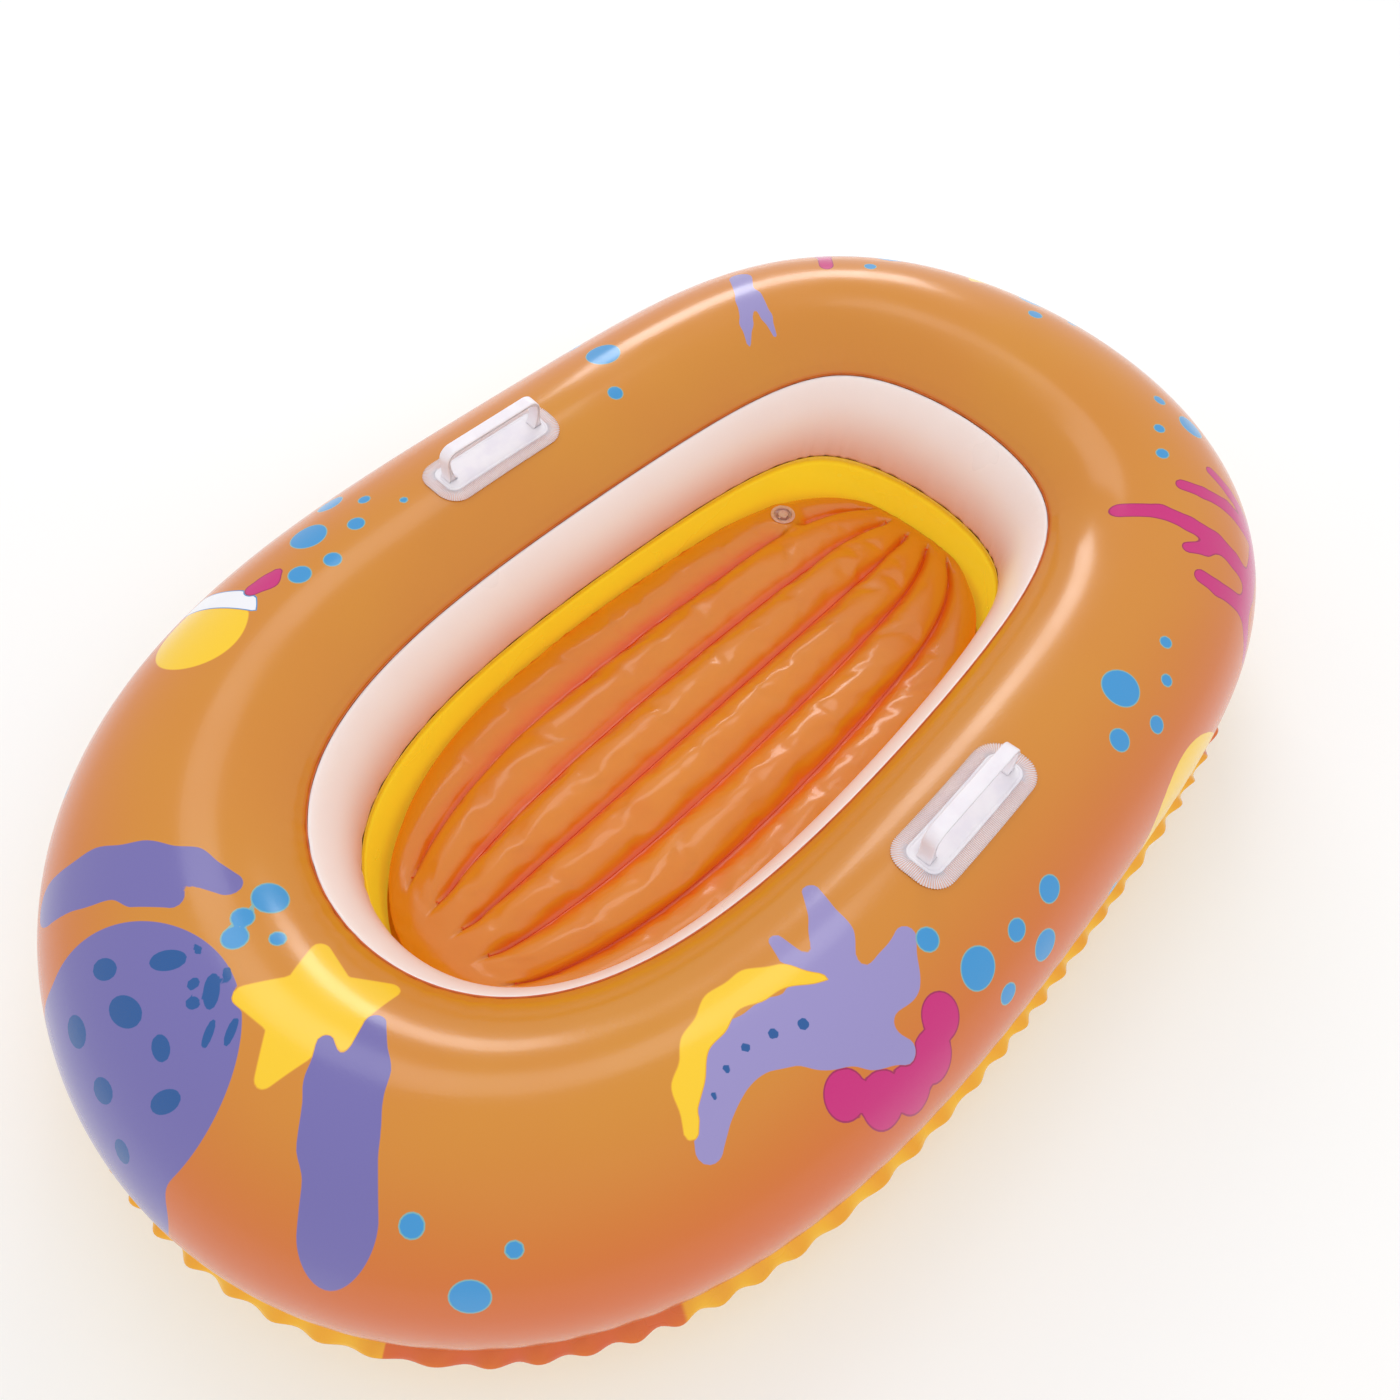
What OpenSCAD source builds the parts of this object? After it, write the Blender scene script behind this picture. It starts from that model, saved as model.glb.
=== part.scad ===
// Child's inflatable boat: one round tube bent into an egg-shaped ring, with an
// inflatable floor mattress, two moulded grab handles and two push-in valves.
// Millimetres. +X points to the bow, +Y to port, +Z up. The origin lies on the
// ground under the middle of the outline.

/* [Hull] */
// Overall length, inflated
boat_length = 1190; // [1000:10:1430]
// Overall width, inflated
boat_width = 780; // [700:10:940]
// Tube diameter at the sides
tube_d_side = 221; // [180:1:266]
// Tube diameter at the bow
tube_d_bow = 230; // [180:1:276]
// Tube diameter at the stern
tube_d_stern = 252; // [200:1:303]
// How far the widest place lies behind the middle of the tube's line
plan_egg = 31; // [0:1:40]
// How much the plan's corners are filled out
plan_square = 27; // [0:1:36]
// How much fuller the bow half is than the stern half
plan_taper = 6; // [0:1:10]
// Height that the tube flattens by where it lies on the ground
ground_flat = 1.2; // [0.8:0.1:2]
// Thickness of the vinyl sheets
sheet_t = 0.3; // [0.25:0.05:0.5]
// Angle of the cockpit rim above the tube's inner equator
rim_angle = 35.5; // [25:0.5:45]
// Angle of the floor weld below the tube's inner equator
floor_weld_angle = 12; // [8:0.5:20]
// Angle of the outer seam below the tube's outer equator
outer_seam_angle = 13; // [8:1:45]
// Width of the outer seam's flange
seam_flange_w = 13; // [8:1:17]
// Gap between two sheets where they are welded edge to edge
weld_gap = 0.3; // [0.2:0.05:0.5]

/* [Mattress] */
// Height of the mattress's welded edge over the ground
mattress_edge_h = 27; // [22:1:33]
// Height of the chambers' crests over the ground
mattress_crest_h = 46; // [38:1:56]
// Number of chambers
chamber_count = 6; // [4:1:8]
// Depth of the weld lines, as a share of the rise from edge to crest
weld_depth = 0.8; // [0.3:0.05:0.9]
// How far the mattress reaches under the tube at the sides
mattress_tuck_side = 4; // [0:1:6]
// How far the mattress reaches under the tube at the stern
mattress_tuck_stern = 12; // [0:1:14]
// How far the mattress stays short of the floor weld at the bow
mattress_gap_bow = 6; // [2:1:12]
// How far the floor's flat part reaches past the mattress
floor_margin = 8; // [6:1:12]

/* [Handles] */
// Place of the handles' middles, forward of the boat's middle
handle_x = 20; // [-80:1:80]
// Angle of the handles round the tube, from its outer equator
handle_angle = 96; // [84:1:104]
// Length of a handle's weld flange
patch_l = 143; // [120:1:172]
// Width of a handle's weld flange
patch_w = 52; // [44:1:62]
// Corner radius of a handle's weld flange
patch_corner_r = 20; // [16:1:22]
// Width of the ribbed border
rib_border = 11; // [8:1:13]
// Thickness of the ribbed border
patch_t = 1.2; // [0.8:0.1:1.6]
// Height of the raised plate over the border
plate_rise = 1; // [0.6:0.1:1.6]
// Distance between the grip's root centres
grip_span = 102; // [84:1:104]
// Width of the grip bar
grip_w = 12; // [9:0.5:14]
// Thickness of the grip bar
grip_t = 4; // [3:0.5:6]
// Height of the grip's top over the raised plate
grip_h = 33; // [27:1:40]
// Length of a grip root at its foot
grip_root_l = 10; // [8:0.5:13]

/* [Valves] */
// Radius of the hull valve's welded flange
hull_valve_r = 17; // [14:0.5:20.5]
// Radius of the hull valve's neck
hull_neck_r = 5.5; // [4.5:0.1:6.5]
// Length of the hull valve's neck
hull_neck_l = 18; // [15:0.5:22]
// Place of the hull valve along the tube, as the plan's angle
hull_valve_station = 250; // [235:1:300]
// Angle of the hull valve round the tube, from its outer equator
hull_valve_angle = 6; // [0:1:20]
// Radius of the floor valve's welded flange
floor_valve_r = 14; // [12:0.5:16]
// Radius of the floor valve's neck
floor_neck_r = 4.8; // [4:0.1:5.6]
// Length of the floor valve's neck
floor_neck_l = 12; // [10:0.5:14]
// Place of the floor valve, as a share of the mattress's half length
floor_valve_along = -0.57; // [-0.7:0.01:-0.1]
// Place of the floor valve, as a share of the mattress's half width there
floor_valve_across = 0.79; // [0.78:0.01:0.86]
// Width of the valves' flange rings
valve_ring_w = 3; // [2.4:0.1:3.2]
// Thickness of the valves' soft walls
valve_wall = 1.4; // [1:0.1:1.6]
// Thickness of the stoppers' caps
cap_t = 1.5; // [1.2:0.1:2]
// How deep the stoppers' plugs reach
plug_l = 4; // [3:0.5:4.5]

/* [Hidden] */

// Colours of the vinyl sheets and of the moulded pieces
orange = [0.85, 0.54, 0.23];
deep_orange = [0.8, 0.42, 0.14];
yellow = [0.92, 0.7, 0.15];
white = [0.93, 0.86, 0.85];
moulded = [0.89, 0.88, 0.93];
clear = [0.9, 0.72, 0.68, 0.8];

// Number of stations round the plan, and steps along the long arcs of the section
stations = 64;
top_steps = 15;
wall_steps = 5;
bottom_steps = 11;

r_side = tube_d_side / 2;
r_bow = tube_d_bow / 2;
r_stern = tube_d_stern / 2;

// The tube's line in plan: an oval with an egg shape and filled corners
line_a = (boat_length - r_bow - r_stern) / 2;
line_b = boat_width / 2 - r_side + plan_square;
line_x0 = (r_stern - r_bow) / 2 - plan_egg;
function line_x(t) = line_x0 + line_a * cos(t) + plan_egg * cos(2 * t);
function line_y(t) = line_b * sin(t) + plan_square * sin(3 * t) + plan_taper * sin(2 * t);
function line_dx(t) = -line_a * sin(t) - 2 * plan_egg * sin(2 * t);
function line_dy(t) = line_b * cos(t) + 3 * plan_square * cos(3 * t) + 2 * plan_taper * cos(2 * t);
function line_speed(t) = norm([line_dx(t), line_dy(t)]);
function out_x(t) = line_dy(t) / line_speed(t);
function out_y(t) = -line_dx(t) / line_speed(t);

// The tube's radius swells smoothly from the sides to the bow and the stern
end_swell = (r_bow + r_stern) / 2 - r_side;
end_lean = (r_bow - r_stern) / 2;
function tube_r(t) = r_side + end_swell * pow(cos(t), 2) + end_lean * cos(t);

// A point of the tube: station t, angle phi from the outer equator, height h over
// the sheet's outer face, and the lowest height that it may have
function tube_point(t, phi, h, lowest) =
    let (rho = tube_r(t) + h)
    [line_x(t) + out_x(t) * rho * cos(phi),
     line_y(t) + out_y(t) * rho * cos(phi),
     max(lowest, tube_r(t) - ground_flat + rho * sin(phi))];

// Angles that a length takes up round the tube, and that a gap and a sheet take up
function round_angle(len) = len / r_side * 180 / PI;
gap_angle = round_angle(weld_gap / 2);
flange_angle = round_angle(weld_gap / 2 + sheet_t);
fold_angle = round_angle(1.5 * sheet_t);
rim_phi = 180 - rim_angle;
seam_phi = -outer_seam_angle;
floor_phi = 180 + floor_weld_angle;

function span(a, b, steps) = [for (i = [0:steps]) a + (b - a) * i / steps];
function ring(phi, h, lowest) =
    [for (i = [0:stations - 1]) tube_point(360 * i / stations, phi, h, lowest)];

// The mattress's outline, tied to the floor weld
function weld_reach(r) = r * (1 + cos(floor_weld_angle));
mattress_bow = boat_length / 2 - weld_reach(r_bow) - mattress_gap_bow;
mattress_stern = boat_length / 2 - weld_reach(r_stern) + mattress_tuck_stern;
mattress_half_w = boat_width / 2 - weld_reach(r_side) + mattress_tuck_side;
mattress_a = (mattress_bow + mattress_stern) / 2;
mattress_egg = 1.2 * plan_egg;
mattress_square = plan_square / 2;
mattress_taper = 1.8 * plan_taper;
mattress_x0 = (mattress_bow - mattress_stern) / 2 - mattress_egg;
function mattress_x(t, grow) = mattress_x0 + (mattress_a + grow) * cos(t) + mattress_egg * cos(2 * t);
function mattress_y(t, grow) = (mattress_half_w + mattress_square + grow) * sin(t)
    + mattress_square * sin(3 * t) + mattress_taper * sin(2 * t);
function floor_ring(z, grow) =
    [for (i = [0:stations - 1])
        let (t = 360 * i / stations) [mattress_x(t, grow), mattress_y(t, grow), z]];
function between(a, b, share) = [for (i = [0:len(a) - 1]) a[i] + (b[i] - a[i]) * share];

// A closed solid from a list of rings with equally many points. The last ring joins
// the first where closed is true, and otherwise each end is closed to its middle.
function middle(pts) = pts * [for (p = pts) 1] / len(pts);
function ring_mean(pts) = [for (k = [0:2]) middle([for (p = pts) p[k]])];
module ring_solid(rings, closed = false) {
    k = len(rings);
    n = len(rings[0]);
    pts = [for (r = rings) each r];
    side = [for (i = [0:k - (closed ? 1 : 2)], j = [0:n - 1])
        let (a = i * n + j,
             b = i * n + (j + 1) % n,
             c = (i + 1) % k * n + (j + 1) % n,
             d = (i + 1) % k * n + j)
        each [[a, b, c], [a, c, d]]];
    first_end = [for (j = [0:n - 1]) [k * n, (j + 1) % n, j]];
    last_end = [for (j = [0:n - 1]) [k * n + 1, (k - 1) * n + j, (k - 1) * n + (j + 1) % n]];
    if (closed)
        polyhedron(pts, side);
    else
        polyhedron(concat(pts, [ring_mean(rings[0]), ring_mean(rings[k - 1])]),
                   concat(side, first_end, last_end));
}

function unit(v) = v / norm(v);

// Puts its children on the tube, with X along the tube to the bow on the port side,
// Z straight out of the sheet and the origin on the sheet's outer face
module on_tube(t, phi) {
    p = tube_point(t, phi, 0, 0);
    s = unit(tube_point(t - 1, phi, 0, 0) - tube_point(t + 1, phi, 0, 0));
    w = unit(cross(s, tube_point(t, phi - 1, 0, 0) - tube_point(t, phi + 1, 0, 0)));
    v = cross(w, s);
    multmatrix([[s[0], v[0], w[0], p[0]],
                [s[1], v[1], w[1], p[1]],
                [s[2], v[2], w[2], p[2]],
                [0, 0, 0, 1]])
        children();
}

// Hull sheets

module hull_top_sheet() {
    outside = span(rim_phi - gap_angle, seam_phi + flange_angle, top_steps);
    inside = span(seam_phi + gap_angle, rim_phi - gap_angle, top_steps);
    rings = concat(
        [for (phi = outside) ring(phi, 0, 0)],
        [ring(seam_phi + flange_angle, seam_flange_w, 0), ring(seam_phi + gap_angle, seam_flange_w, 0)],
        [for (phi = inside) ring(phi, -sheet_t, 0)]);
    color(orange)
    difference() {
        ring_solid(rings, closed = true);
        on_tube(hull_valve_station, hull_valve_angle)
            cylinder(r = valve_hole_r(hull_valve_r), h = 2 * valve_ring_w, center = true, $fn = 32);
    }
}

module hull_inner_wall() {
    upper = rim_phi + gap_angle;
    lower = floor_phi - fold_angle - 2 * gap_angle;
    color(white)
    ring_solid(concat(
        [for (phi = span(upper, lower, wall_steps)) ring(phi, 0, 0)],
        [for (phi = span(lower, upper, wall_steps)) ring(phi, -sheet_t, 0)]), closed = true);
}

// The lower outside of the tube, its underside and the cockpit floor in one sheet
module hull_bottom_sheet() {
    fold = floor_phi - fold_angle;
    under = ring(floor_phi, 0, 0);
    over = ring(fold, sheet_t, 0);
    edge_under = floor_ring(0, floor_margin);
    edge_over = floor_ring(sheet_t, floor_margin - sheet_t);
    color(yellow)
    ring_solid(concat(
        [edge_under, between(edge_under, under, 0.5)],
        [for (phi = span(floor_phi, 360 + seam_phi - flange_angle, bottom_steps)) ring(phi, 0, 0)],
        [ring(seam_phi - flange_angle, seam_flange_w, 0), ring(seam_phi - gap_angle, seam_flange_w, 0)],
        [for (phi = span(360 + seam_phi - gap_angle, fold, bottom_steps)) ring(phi, -sheet_t, sheet_t)],
        [over, between(over, edge_over, 0.5), edge_over]));
}

// Mattress

mattress_floor_h = sheet_t + weld_gap;
mattress_ribs = 6;
mattress_cuts = 14;
function valley(f) =
    let (q = 2 * ((f + 1) * chamber_count / 2 % 1) - 1)
    1 - sqrt(max(0, 1 - q * q));
function ease(x) = let (c = min(1, max(0, x))) c * c * (3 - 2 * c);
// The weld lines fade out before the ends, so that air passes between the chambers
function weld_share(t) = 1 - ease((abs(cos(t)) - 0.86) / 0.1);
function end_share(t) = sqrt(1 - pow(abs(cos(t)), 14));
function edge_share(f) = sqrt(1 - pow(abs(f), 8));
function mattress_top(t, f) = mattress_edge_h
    + (mattress_crest_h - mattress_edge_h) * end_share(t) * edge_share(f)
    * (1 - weld_depth * weld_share(t) * valley(f));
function mattress_under(t) = mattress_edge_h
    - (mattress_edge_h - mattress_floor_h) * min(1, 2.6 * sin(t));

module mattress_body() {
    across = chamber_count * mattress_ribs;
    last = 3;
    stops = [for (i = [0:2 * mattress_cuts]) last + (180 - 2 * last) * i / (2 * mattress_cuts)];
    ring_solid([for (t = stops)
        let (x = mattress_x(t, 0), y = mattress_y(t, 0))
        concat(
            [for (j = [0:across])
                let (f = 2 * j / across - 1) [x, y * f, mattress_top(t, f)]],
            [for (f = [0.92, 0.5, 0, -0.5, -0.92])
                [x, y * f, mattress_under(t)]])]);
}

// Station of the mattress's outline that lies at the floor valve
valve_t = acos(floor_valve_along);
floor_valve_x = mattress_x(valve_t, 0);
floor_valve_y = -mattress_y(valve_t, 0) * floor_valve_across;

module at_floor_valve() {
    translate([floor_valve_x, floor_valve_y, mattress_crest_h])
        children();
}

module floor_mattress() {
    pad_h = mattress_crest_h - mattress_edge_h;
    pocket_h = floor_neck_l + 3 * floor_neck_r;
    color(deep_orange)
    difference() {
        union() {
            mattress_body();
            at_floor_valve()
                translate([0, 0, -pad_h])
                    cylinder(r = floor_valve_r + 1, h = pad_h, $fn = 48);
        }
        at_floor_valve()
            translate([0, 0, -pocket_h])
                cylinder(r = valve_hole_r(floor_valve_r), h = pocket_h + 1, $fn = 32);
    }
}

// Handles

// Station whose point on the tube's line lies at handle_x, found by halving
function station_at(x, low, high, tries) =
    let (mid = (low + high) / 2)
    tries == 0 ? mid
    : line_x(mid) > x ? station_at(x, mid, high, tries - 1)
    : station_at(x, low, mid, tries - 1);
handle_station = station_at(handle_x, 40, 130, 30);
handle_r = tube_r(handle_station);

// Outline of the flange, drawn in by inset, and laid on the tube h over the sheet
corner_steps = 7;
function patch_outline(inset) =
    let (r = max(patch_corner_r - inset, 1.5),
         cx = patch_l / 2 - inset - r,
         cy = patch_w / 2 - inset - r)
    [for (q = [0:3], i = [0:corner_steps])
        let (a = 90 * q + 90 * i / corner_steps,
             sx = (q == 0 || q == 3) ? 1 : -1,
             sy = q < 2 ? 1 : -1)
        [sx * cx + r * cos(a), sy * cy + r * sin(a)]];
function patch_ring(inset, h) =
    [for (p = patch_outline(inset))
        tube_point(handle_station - p[0] / line_speed(handle_station) * 180 / PI,
                   handle_angle - p[1] / handle_r * 180 / PI, h, 0)];

// A welded flange with its ribbed border and the raised plate inside it
module handle_patch() {
    plate_h = weld_gap + patch_t + plate_rise;
    spine = patch_w / 2 - 2;
    slope = plate_rise;
    color(moulded)
    ring_solid(concat(
        [for (s = [1, 0.7, 0.35, 0]) patch_ring(spine * s, weld_gap)],
        [patch_ring(0, weld_gap + patch_t), patch_ring(rib_border, weld_gap + patch_t)],
        [for (s = [0, 0.35, 0.7, 1])
            patch_ring(rib_border + slope + (spine - rib_border - slope) * s, plate_h)]));
}

// Arched grip: two roots, round knees and a flat bar
knee_steps = 6;
module handle_grip() {
    foot_h = weld_gap + patch_t + plate_rise + weld_gap;
    top_h = foot_h + grip_h;
    half = grip_span / 2 + grip_root_l / 2;
    knee_r = grip_root_l + 2;
    neck = grip_root_l - 4;
    inner_r = knee_r - grip_t;
    side = concat(
        [[half, foot_h], [half, foot_h + 2], [half - 1, foot_h + 3]],
        [for (i = [0:knee_steps])
            let (a = 90 * i / knee_steps)
            [half - 1 - knee_r + knee_r * cos(a), top_h - knee_r + knee_r * sin(a)]]);
    inside = concat(
        [for (i = [knee_steps:-1:0])
            let (a = 90 * i / knee_steps)
            [half - 1 - neck - inner_r + inner_r * cos(a), top_h - knee_r + inner_r * sin(a)]],
        [[half - grip_root_l + 1, foot_h + 3], [half - grip_root_l, foot_h + 2],
         [half - grip_root_l, foot_h]]);
    mirror_path = function(path) [for (i = [len(path) - 1:-1:0]) [-path[i][0], path[i][1]]];
    color(moulded)
    on_tube(handle_station, handle_angle)
        rotate([90, 0, 0])
            linear_extrude(grip_w, center = true)
                polygon(concat(side, mirror_path(side), mirror_path(inside), inside));
}

module handle_patch_left() handle_patch();
module handle_patch_right() mirror([0, 1, 0]) handle_patch();
module handle_grip_left() handle_grip();
module handle_grip_right() mirror([0, 1, 0]) handle_grip();

// Valves: each is drawn upright with the sheet's outer face at Z = 0. The neck is
// pushed in, so that the stopper's cap lies nearly flush with the flange.

ring_t = 1;
rim_h = 0.3;
running_gap = 0.3;
plug_gap = 0.3;
plug_taper = 0.5;
cap_gap = 0.2;
flap_t = 0.6;
web_t = 0.5;
web_fold_h = 1.4;
lug_t = 0.7;
strap_w = 3;
function valve_recess_r(r) = r - valve_ring_w - 1;
function valve_hole_r(r) = r - valve_ring_w;
function web_depth(r) = valve_recess_r(r) / 2;
function bore_r(neck_r) = neck_r - valve_wall;
// Radius at which the stopper's strap bends
function strap_r(neck_r) = neck_r + 3;

module valve_flange(r) {
    color(clear)
    translate([0, 0, weld_gap])
        difference() {
            cylinder(r = r, h = ring_t, $fn = 48);
            translate([0, 0, -1])
                cylinder(r = valve_recess_r(r) + running_gap, h = ring_t + 2, $fn = 48);
        }
}

// Soft collar from the flange down to the neck
module valve_web(r, neck_r) {
    lip_r = valve_recess_r(r);
    hole_r = neck_r + running_gap;
    depth = web_depth(r);
    color(clear)
    rotate_extrude($fn = 48)
        polygon([[lip_r, weld_gap + ring_t], [lip_r - web_t, weld_gap + ring_t],
                 [lip_r - web_t, -web_fold_h], [hole_r, web_t - depth], [hole_r, -depth],
                 [hole_r + 0.6, -depth], [lip_r, -web_fold_h - web_t]]);
}

module valve_neck(neck_r, neck_l) {
    color(clear)
    translate([0, 0, rim_h - neck_l])
        difference() {
            cylinder(r = neck_r, h = neck_l, $fn = 48);
            translate([0, 0, -1])
                cylinder(r = bore_r(neck_r), h = neck_l + 2, $fn = 48);
        }
}

// Strap beside the neck that the stopper hangs on
module valve_tether(neck_r) {
    strap_t = 0.8;
    reach = strap_r(neck_r) - neck_r - 2 * running_gap;
    color(clear)
    translate([neck_r + running_gap, -strap_w / 2, -strap_t])
        cube([reach, strap_w, strap_t]);
}

// Cap, tapered plug and the lug that reaches to the strap
module valve_stopper(neck_r) {
    base_h = rim_h + cap_gap;
    top_r = bore_r(neck_r) - plug_gap;
    color(clear)
    union() {
        translate([0, 0, base_h])
            cylinder(r = neck_r + 0.7, h = cap_t, $fn = 48);
        translate([0, 0, base_h - plug_l])
            cylinder(r1 = top_r - plug_taper, r2 = top_r, h = plug_l, $fn = 48);
        translate([0, -strap_w / 2, base_h])
            cube([strap_r(neck_r), strap_w, lug_t]);
    }
}

// Check flap that hangs under the neck's inner end
module valve_flap(neck_r, neck_l) {
    color(clear)
    translate([0, 0, rim_h - neck_l - running_gap - flap_t])
        cylinder(r = neck_r - 0.4, h = flap_t, $fn = 48);
}

// The sheet's flat facets lie a little inside the true round, so the valve is seated
// on them rather than on the round
facet_drop = 0.5;
module at_hull_valve() {
    on_tube(hull_valve_station, hull_valve_angle)
        translate([0, 0, -facet_drop])
            children();
}

module floor_valve_flange() at_floor_valve() valve_flange(floor_valve_r);
module floor_valve_web() at_floor_valve() valve_web(floor_valve_r, floor_neck_r);
module floor_valve_neck() at_floor_valve() valve_neck(floor_neck_r, floor_neck_l);
module floor_valve_tether() at_floor_valve() valve_tether(floor_neck_r);
module floor_valve_stopper() at_floor_valve() valve_stopper(floor_neck_r);
module floor_valve_flap() at_floor_valve() valve_flap(floor_neck_r, floor_neck_l);
module hull_valve_flange() at_hull_valve() valve_flange(hull_valve_r);
module hull_valve_web() at_hull_valve() valve_web(hull_valve_r, hull_neck_r);
module hull_valve_neck() at_hull_valve() valve_neck(hull_neck_r, hull_neck_l);
module hull_valve_tether() at_hull_valve() valve_tether(hull_neck_r);
module hull_valve_stopper() at_hull_valve() valve_stopper(hull_neck_r);
module hull_valve_flap() at_hull_valve() valve_flap(hull_neck_r, hull_neck_l);

hull_top_sheet();
hull_inner_wall();
hull_bottom_sheet();
floor_mattress();
handle_patch_left();
handle_patch_right();
handle_grip_left();
handle_grip_right();
floor_valve_flange();
floor_valve_web();
floor_valve_neck();
floor_valve_tether();
floor_valve_stopper();
floor_valve_flap();
hull_valve_flange();
hull_valve_web();
hull_valve_neck();
hull_valve_tether();
hull_valve_stopper();
hull_valve_flap();
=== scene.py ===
"""Child's inflatable boat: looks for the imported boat, laid out as an add-on and run as a script.

Everything is in metres in the boat's own frame: +X points to the bow, +Y to port, +Z up,
and the origin lies on the ground under the middle of the outline.
"""

import math
from functools import partialmethod

import bpy
import numpy as np
from bpy.props import FloatProperty, FloatVectorProperty, IntProperty, PointerProperty
from bpy.types import Operator, Panel, PropertyGroup
from mathutils import Matrix, Vector
from mathutils.kdtree import KDTree


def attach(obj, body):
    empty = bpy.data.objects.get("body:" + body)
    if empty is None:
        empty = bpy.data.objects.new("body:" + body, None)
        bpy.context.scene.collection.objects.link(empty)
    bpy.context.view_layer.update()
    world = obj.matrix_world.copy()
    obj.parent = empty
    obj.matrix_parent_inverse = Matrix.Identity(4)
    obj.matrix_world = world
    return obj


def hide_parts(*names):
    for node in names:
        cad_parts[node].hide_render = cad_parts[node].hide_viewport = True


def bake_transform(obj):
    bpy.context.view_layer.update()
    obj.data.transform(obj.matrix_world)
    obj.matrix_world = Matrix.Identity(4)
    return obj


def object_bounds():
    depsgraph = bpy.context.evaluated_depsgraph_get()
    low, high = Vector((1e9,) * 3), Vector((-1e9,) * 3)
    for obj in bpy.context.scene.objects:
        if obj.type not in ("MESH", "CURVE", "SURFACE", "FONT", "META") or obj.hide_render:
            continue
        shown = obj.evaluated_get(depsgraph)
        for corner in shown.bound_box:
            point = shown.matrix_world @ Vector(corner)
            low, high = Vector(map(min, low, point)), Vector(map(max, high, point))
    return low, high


bl_info = {
    "name": "Child's inflatable boat",
    "version": (1, 0, 0),
    "blender": (4, 5, 0),
    "location": "View3D > Sidebar > Boat",
    "description": "Builds the sheets, mattress, handles and valves of a child's inflatable boat",
    "category": "Object",
}

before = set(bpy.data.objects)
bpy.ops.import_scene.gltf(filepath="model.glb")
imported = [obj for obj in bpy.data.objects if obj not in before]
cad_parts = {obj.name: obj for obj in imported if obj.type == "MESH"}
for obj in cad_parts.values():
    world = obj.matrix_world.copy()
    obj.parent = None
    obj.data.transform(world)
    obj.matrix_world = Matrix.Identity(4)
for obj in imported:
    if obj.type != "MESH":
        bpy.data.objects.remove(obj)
CAD_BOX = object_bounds()
BOAT_LOW, BOAT_HIGH = CAD_BOX
TURN = 2 * math.pi
SEAM_ANGLE = 13
FLANGE_W = 0.013
# The tube is widest this far beyond its seam, and its flange reaches beyond that
SEAM_BEHIND = 0.0029
FLANGE_BEYOND = FLANGE_W * math.cos(math.radians(SEAM_ANGLE)) - SEAM_BEHIND


def tint(red, green, blue):
    """A colour picked from 0 to 255, as Blender's linear light."""
    return tuple(c / 12.92 if c <= 0.04045 else ((c + 0.055) / 1.055) ** 2.4
                 for c in (red / 255, green / 255, blue / 255))


def eased(x):
    """A smooth step from 0 to 1."""
    x = np.clip(x, 0, 1)
    return x * x * (3 - 2 * x)


# Settings ------------------------------------------------------------------------


def length(name, description, default):
    return FloatProperty(name=name, description=description, default=default,
                         subtype="DISTANCE", unit="LENGTH", precision=5)


def angle(name, description, degrees):
    return FloatProperty(name=name, description=description, default=math.radians(degrees),
                         subtype="ANGLE", unit="ROTATION")


def colour(name, description, default):
    return FloatVectorProperty(name=name, description=description, default=default,
                               subtype="COLOR", size=3, min=0, max=1)


class BoatHullSizes(PropertyGroup):
    """Sizes of the tube and of the sheets it is welded from."""

    boat_l: length("Length", "Length over the tube", round(BOAT_HIGH[0] - BOAT_LOW[0] - 2 * FLANGE_BEYOND, 2))
    boat_w: length("Width", "Width over the tube", round(BOAT_HIGH[1] - BOAT_LOW[1] - 2 * FLANGE_BEYOND, 2))
    side_d: length("Tube at the Sides", "Tube diameter at the sides", 0.221)
    bow_d: length("Tube at the Bow", "Tube diameter at the bow", 0.230)
    stern_d: length("Tube at the Stern", "Tube diameter at the stern", 0.252)
    egg: length("Egg Shape", "How far the widest place lies behind the line's middle", 0.031)
    square: length("Corner Fill", "How much the plan's corners are filled out", 0.027)
    taper: length("Bow Fullness", "How much fuller the bow half is than the stern half", 0.006)
    ground_flat: length("Ground Flat", "Height the tube flattens by on the ground", 0.0012)
    sheet_t: length("Sheet Thickness", "Thickness of the vinyl", 0.0003)
    weld_gap: length("Weld Gap", "Gap between two welded edges", 0.0003)
    rim_angle: angle("Rim Angle", "Cockpit rim above the inner equator", 35.5)
    floor_angle: angle("Floor Weld Angle", "Floor weld below the inner equator", 12)
    seam_angle: angle("Seam Angle", "Outer seam below the outer equator", SEAM_ANGLE)
    flange_w: length("Flange Width", "Width of the outer seam's flange", FLANGE_W)
    ripple: length("Flange Ripple", "How far the flange waves up and down", 0.0042)
    ripple_step: length("Ripple Length", "Distance between the flange's waves", 0.033)
    floor_margin: length("Floor Margin", "Flat floor beyond the mattress", 0.008)
    weld_line_w: length("Rim Weld Width", "Width of the weld line beside the rim", 0.0024)
    stations: IntProperty(name="Stations", description="Steps round the plan", default=960, min=90)
    around: IntProperty(name="Steps Around", description="Steps round the outer face", default=92, min=12)


class BoatMattressSizes(PropertyGroup):
    """Sizes of the inflatable floor mattress."""

    edge_h: length("Edge Height", "Height of the welded edge", 0.027)
    crest_h: length("Crest Height", "Height of the chambers' crests", 0.046)
    tuck_side: length("Side Tuck", "How far it reaches under the tube at the sides", 0.004)
    tuck_stern: length("Stern Tuck", "How far it reaches under the tube at the stern", 0.012)
    gap_bow: length("Bow Gap", "How far it stays short of the floor weld at the bow", 0.006)
    chambers: IntProperty(name="Chambers", description="Number of air chambers", default=6, min=2)
    weld_w: length("Weld Width", "Width of a weld line", 0.0032)
    pressure: FloatProperty(name="Pressure", description="Air pressure in the cloth run", default=5.0)
    spare: FloatProperty(name="Spare Sheet", description="Share of sheet that puckers along the welds",
                         default=0.009, subtype="FACTOR")


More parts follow.
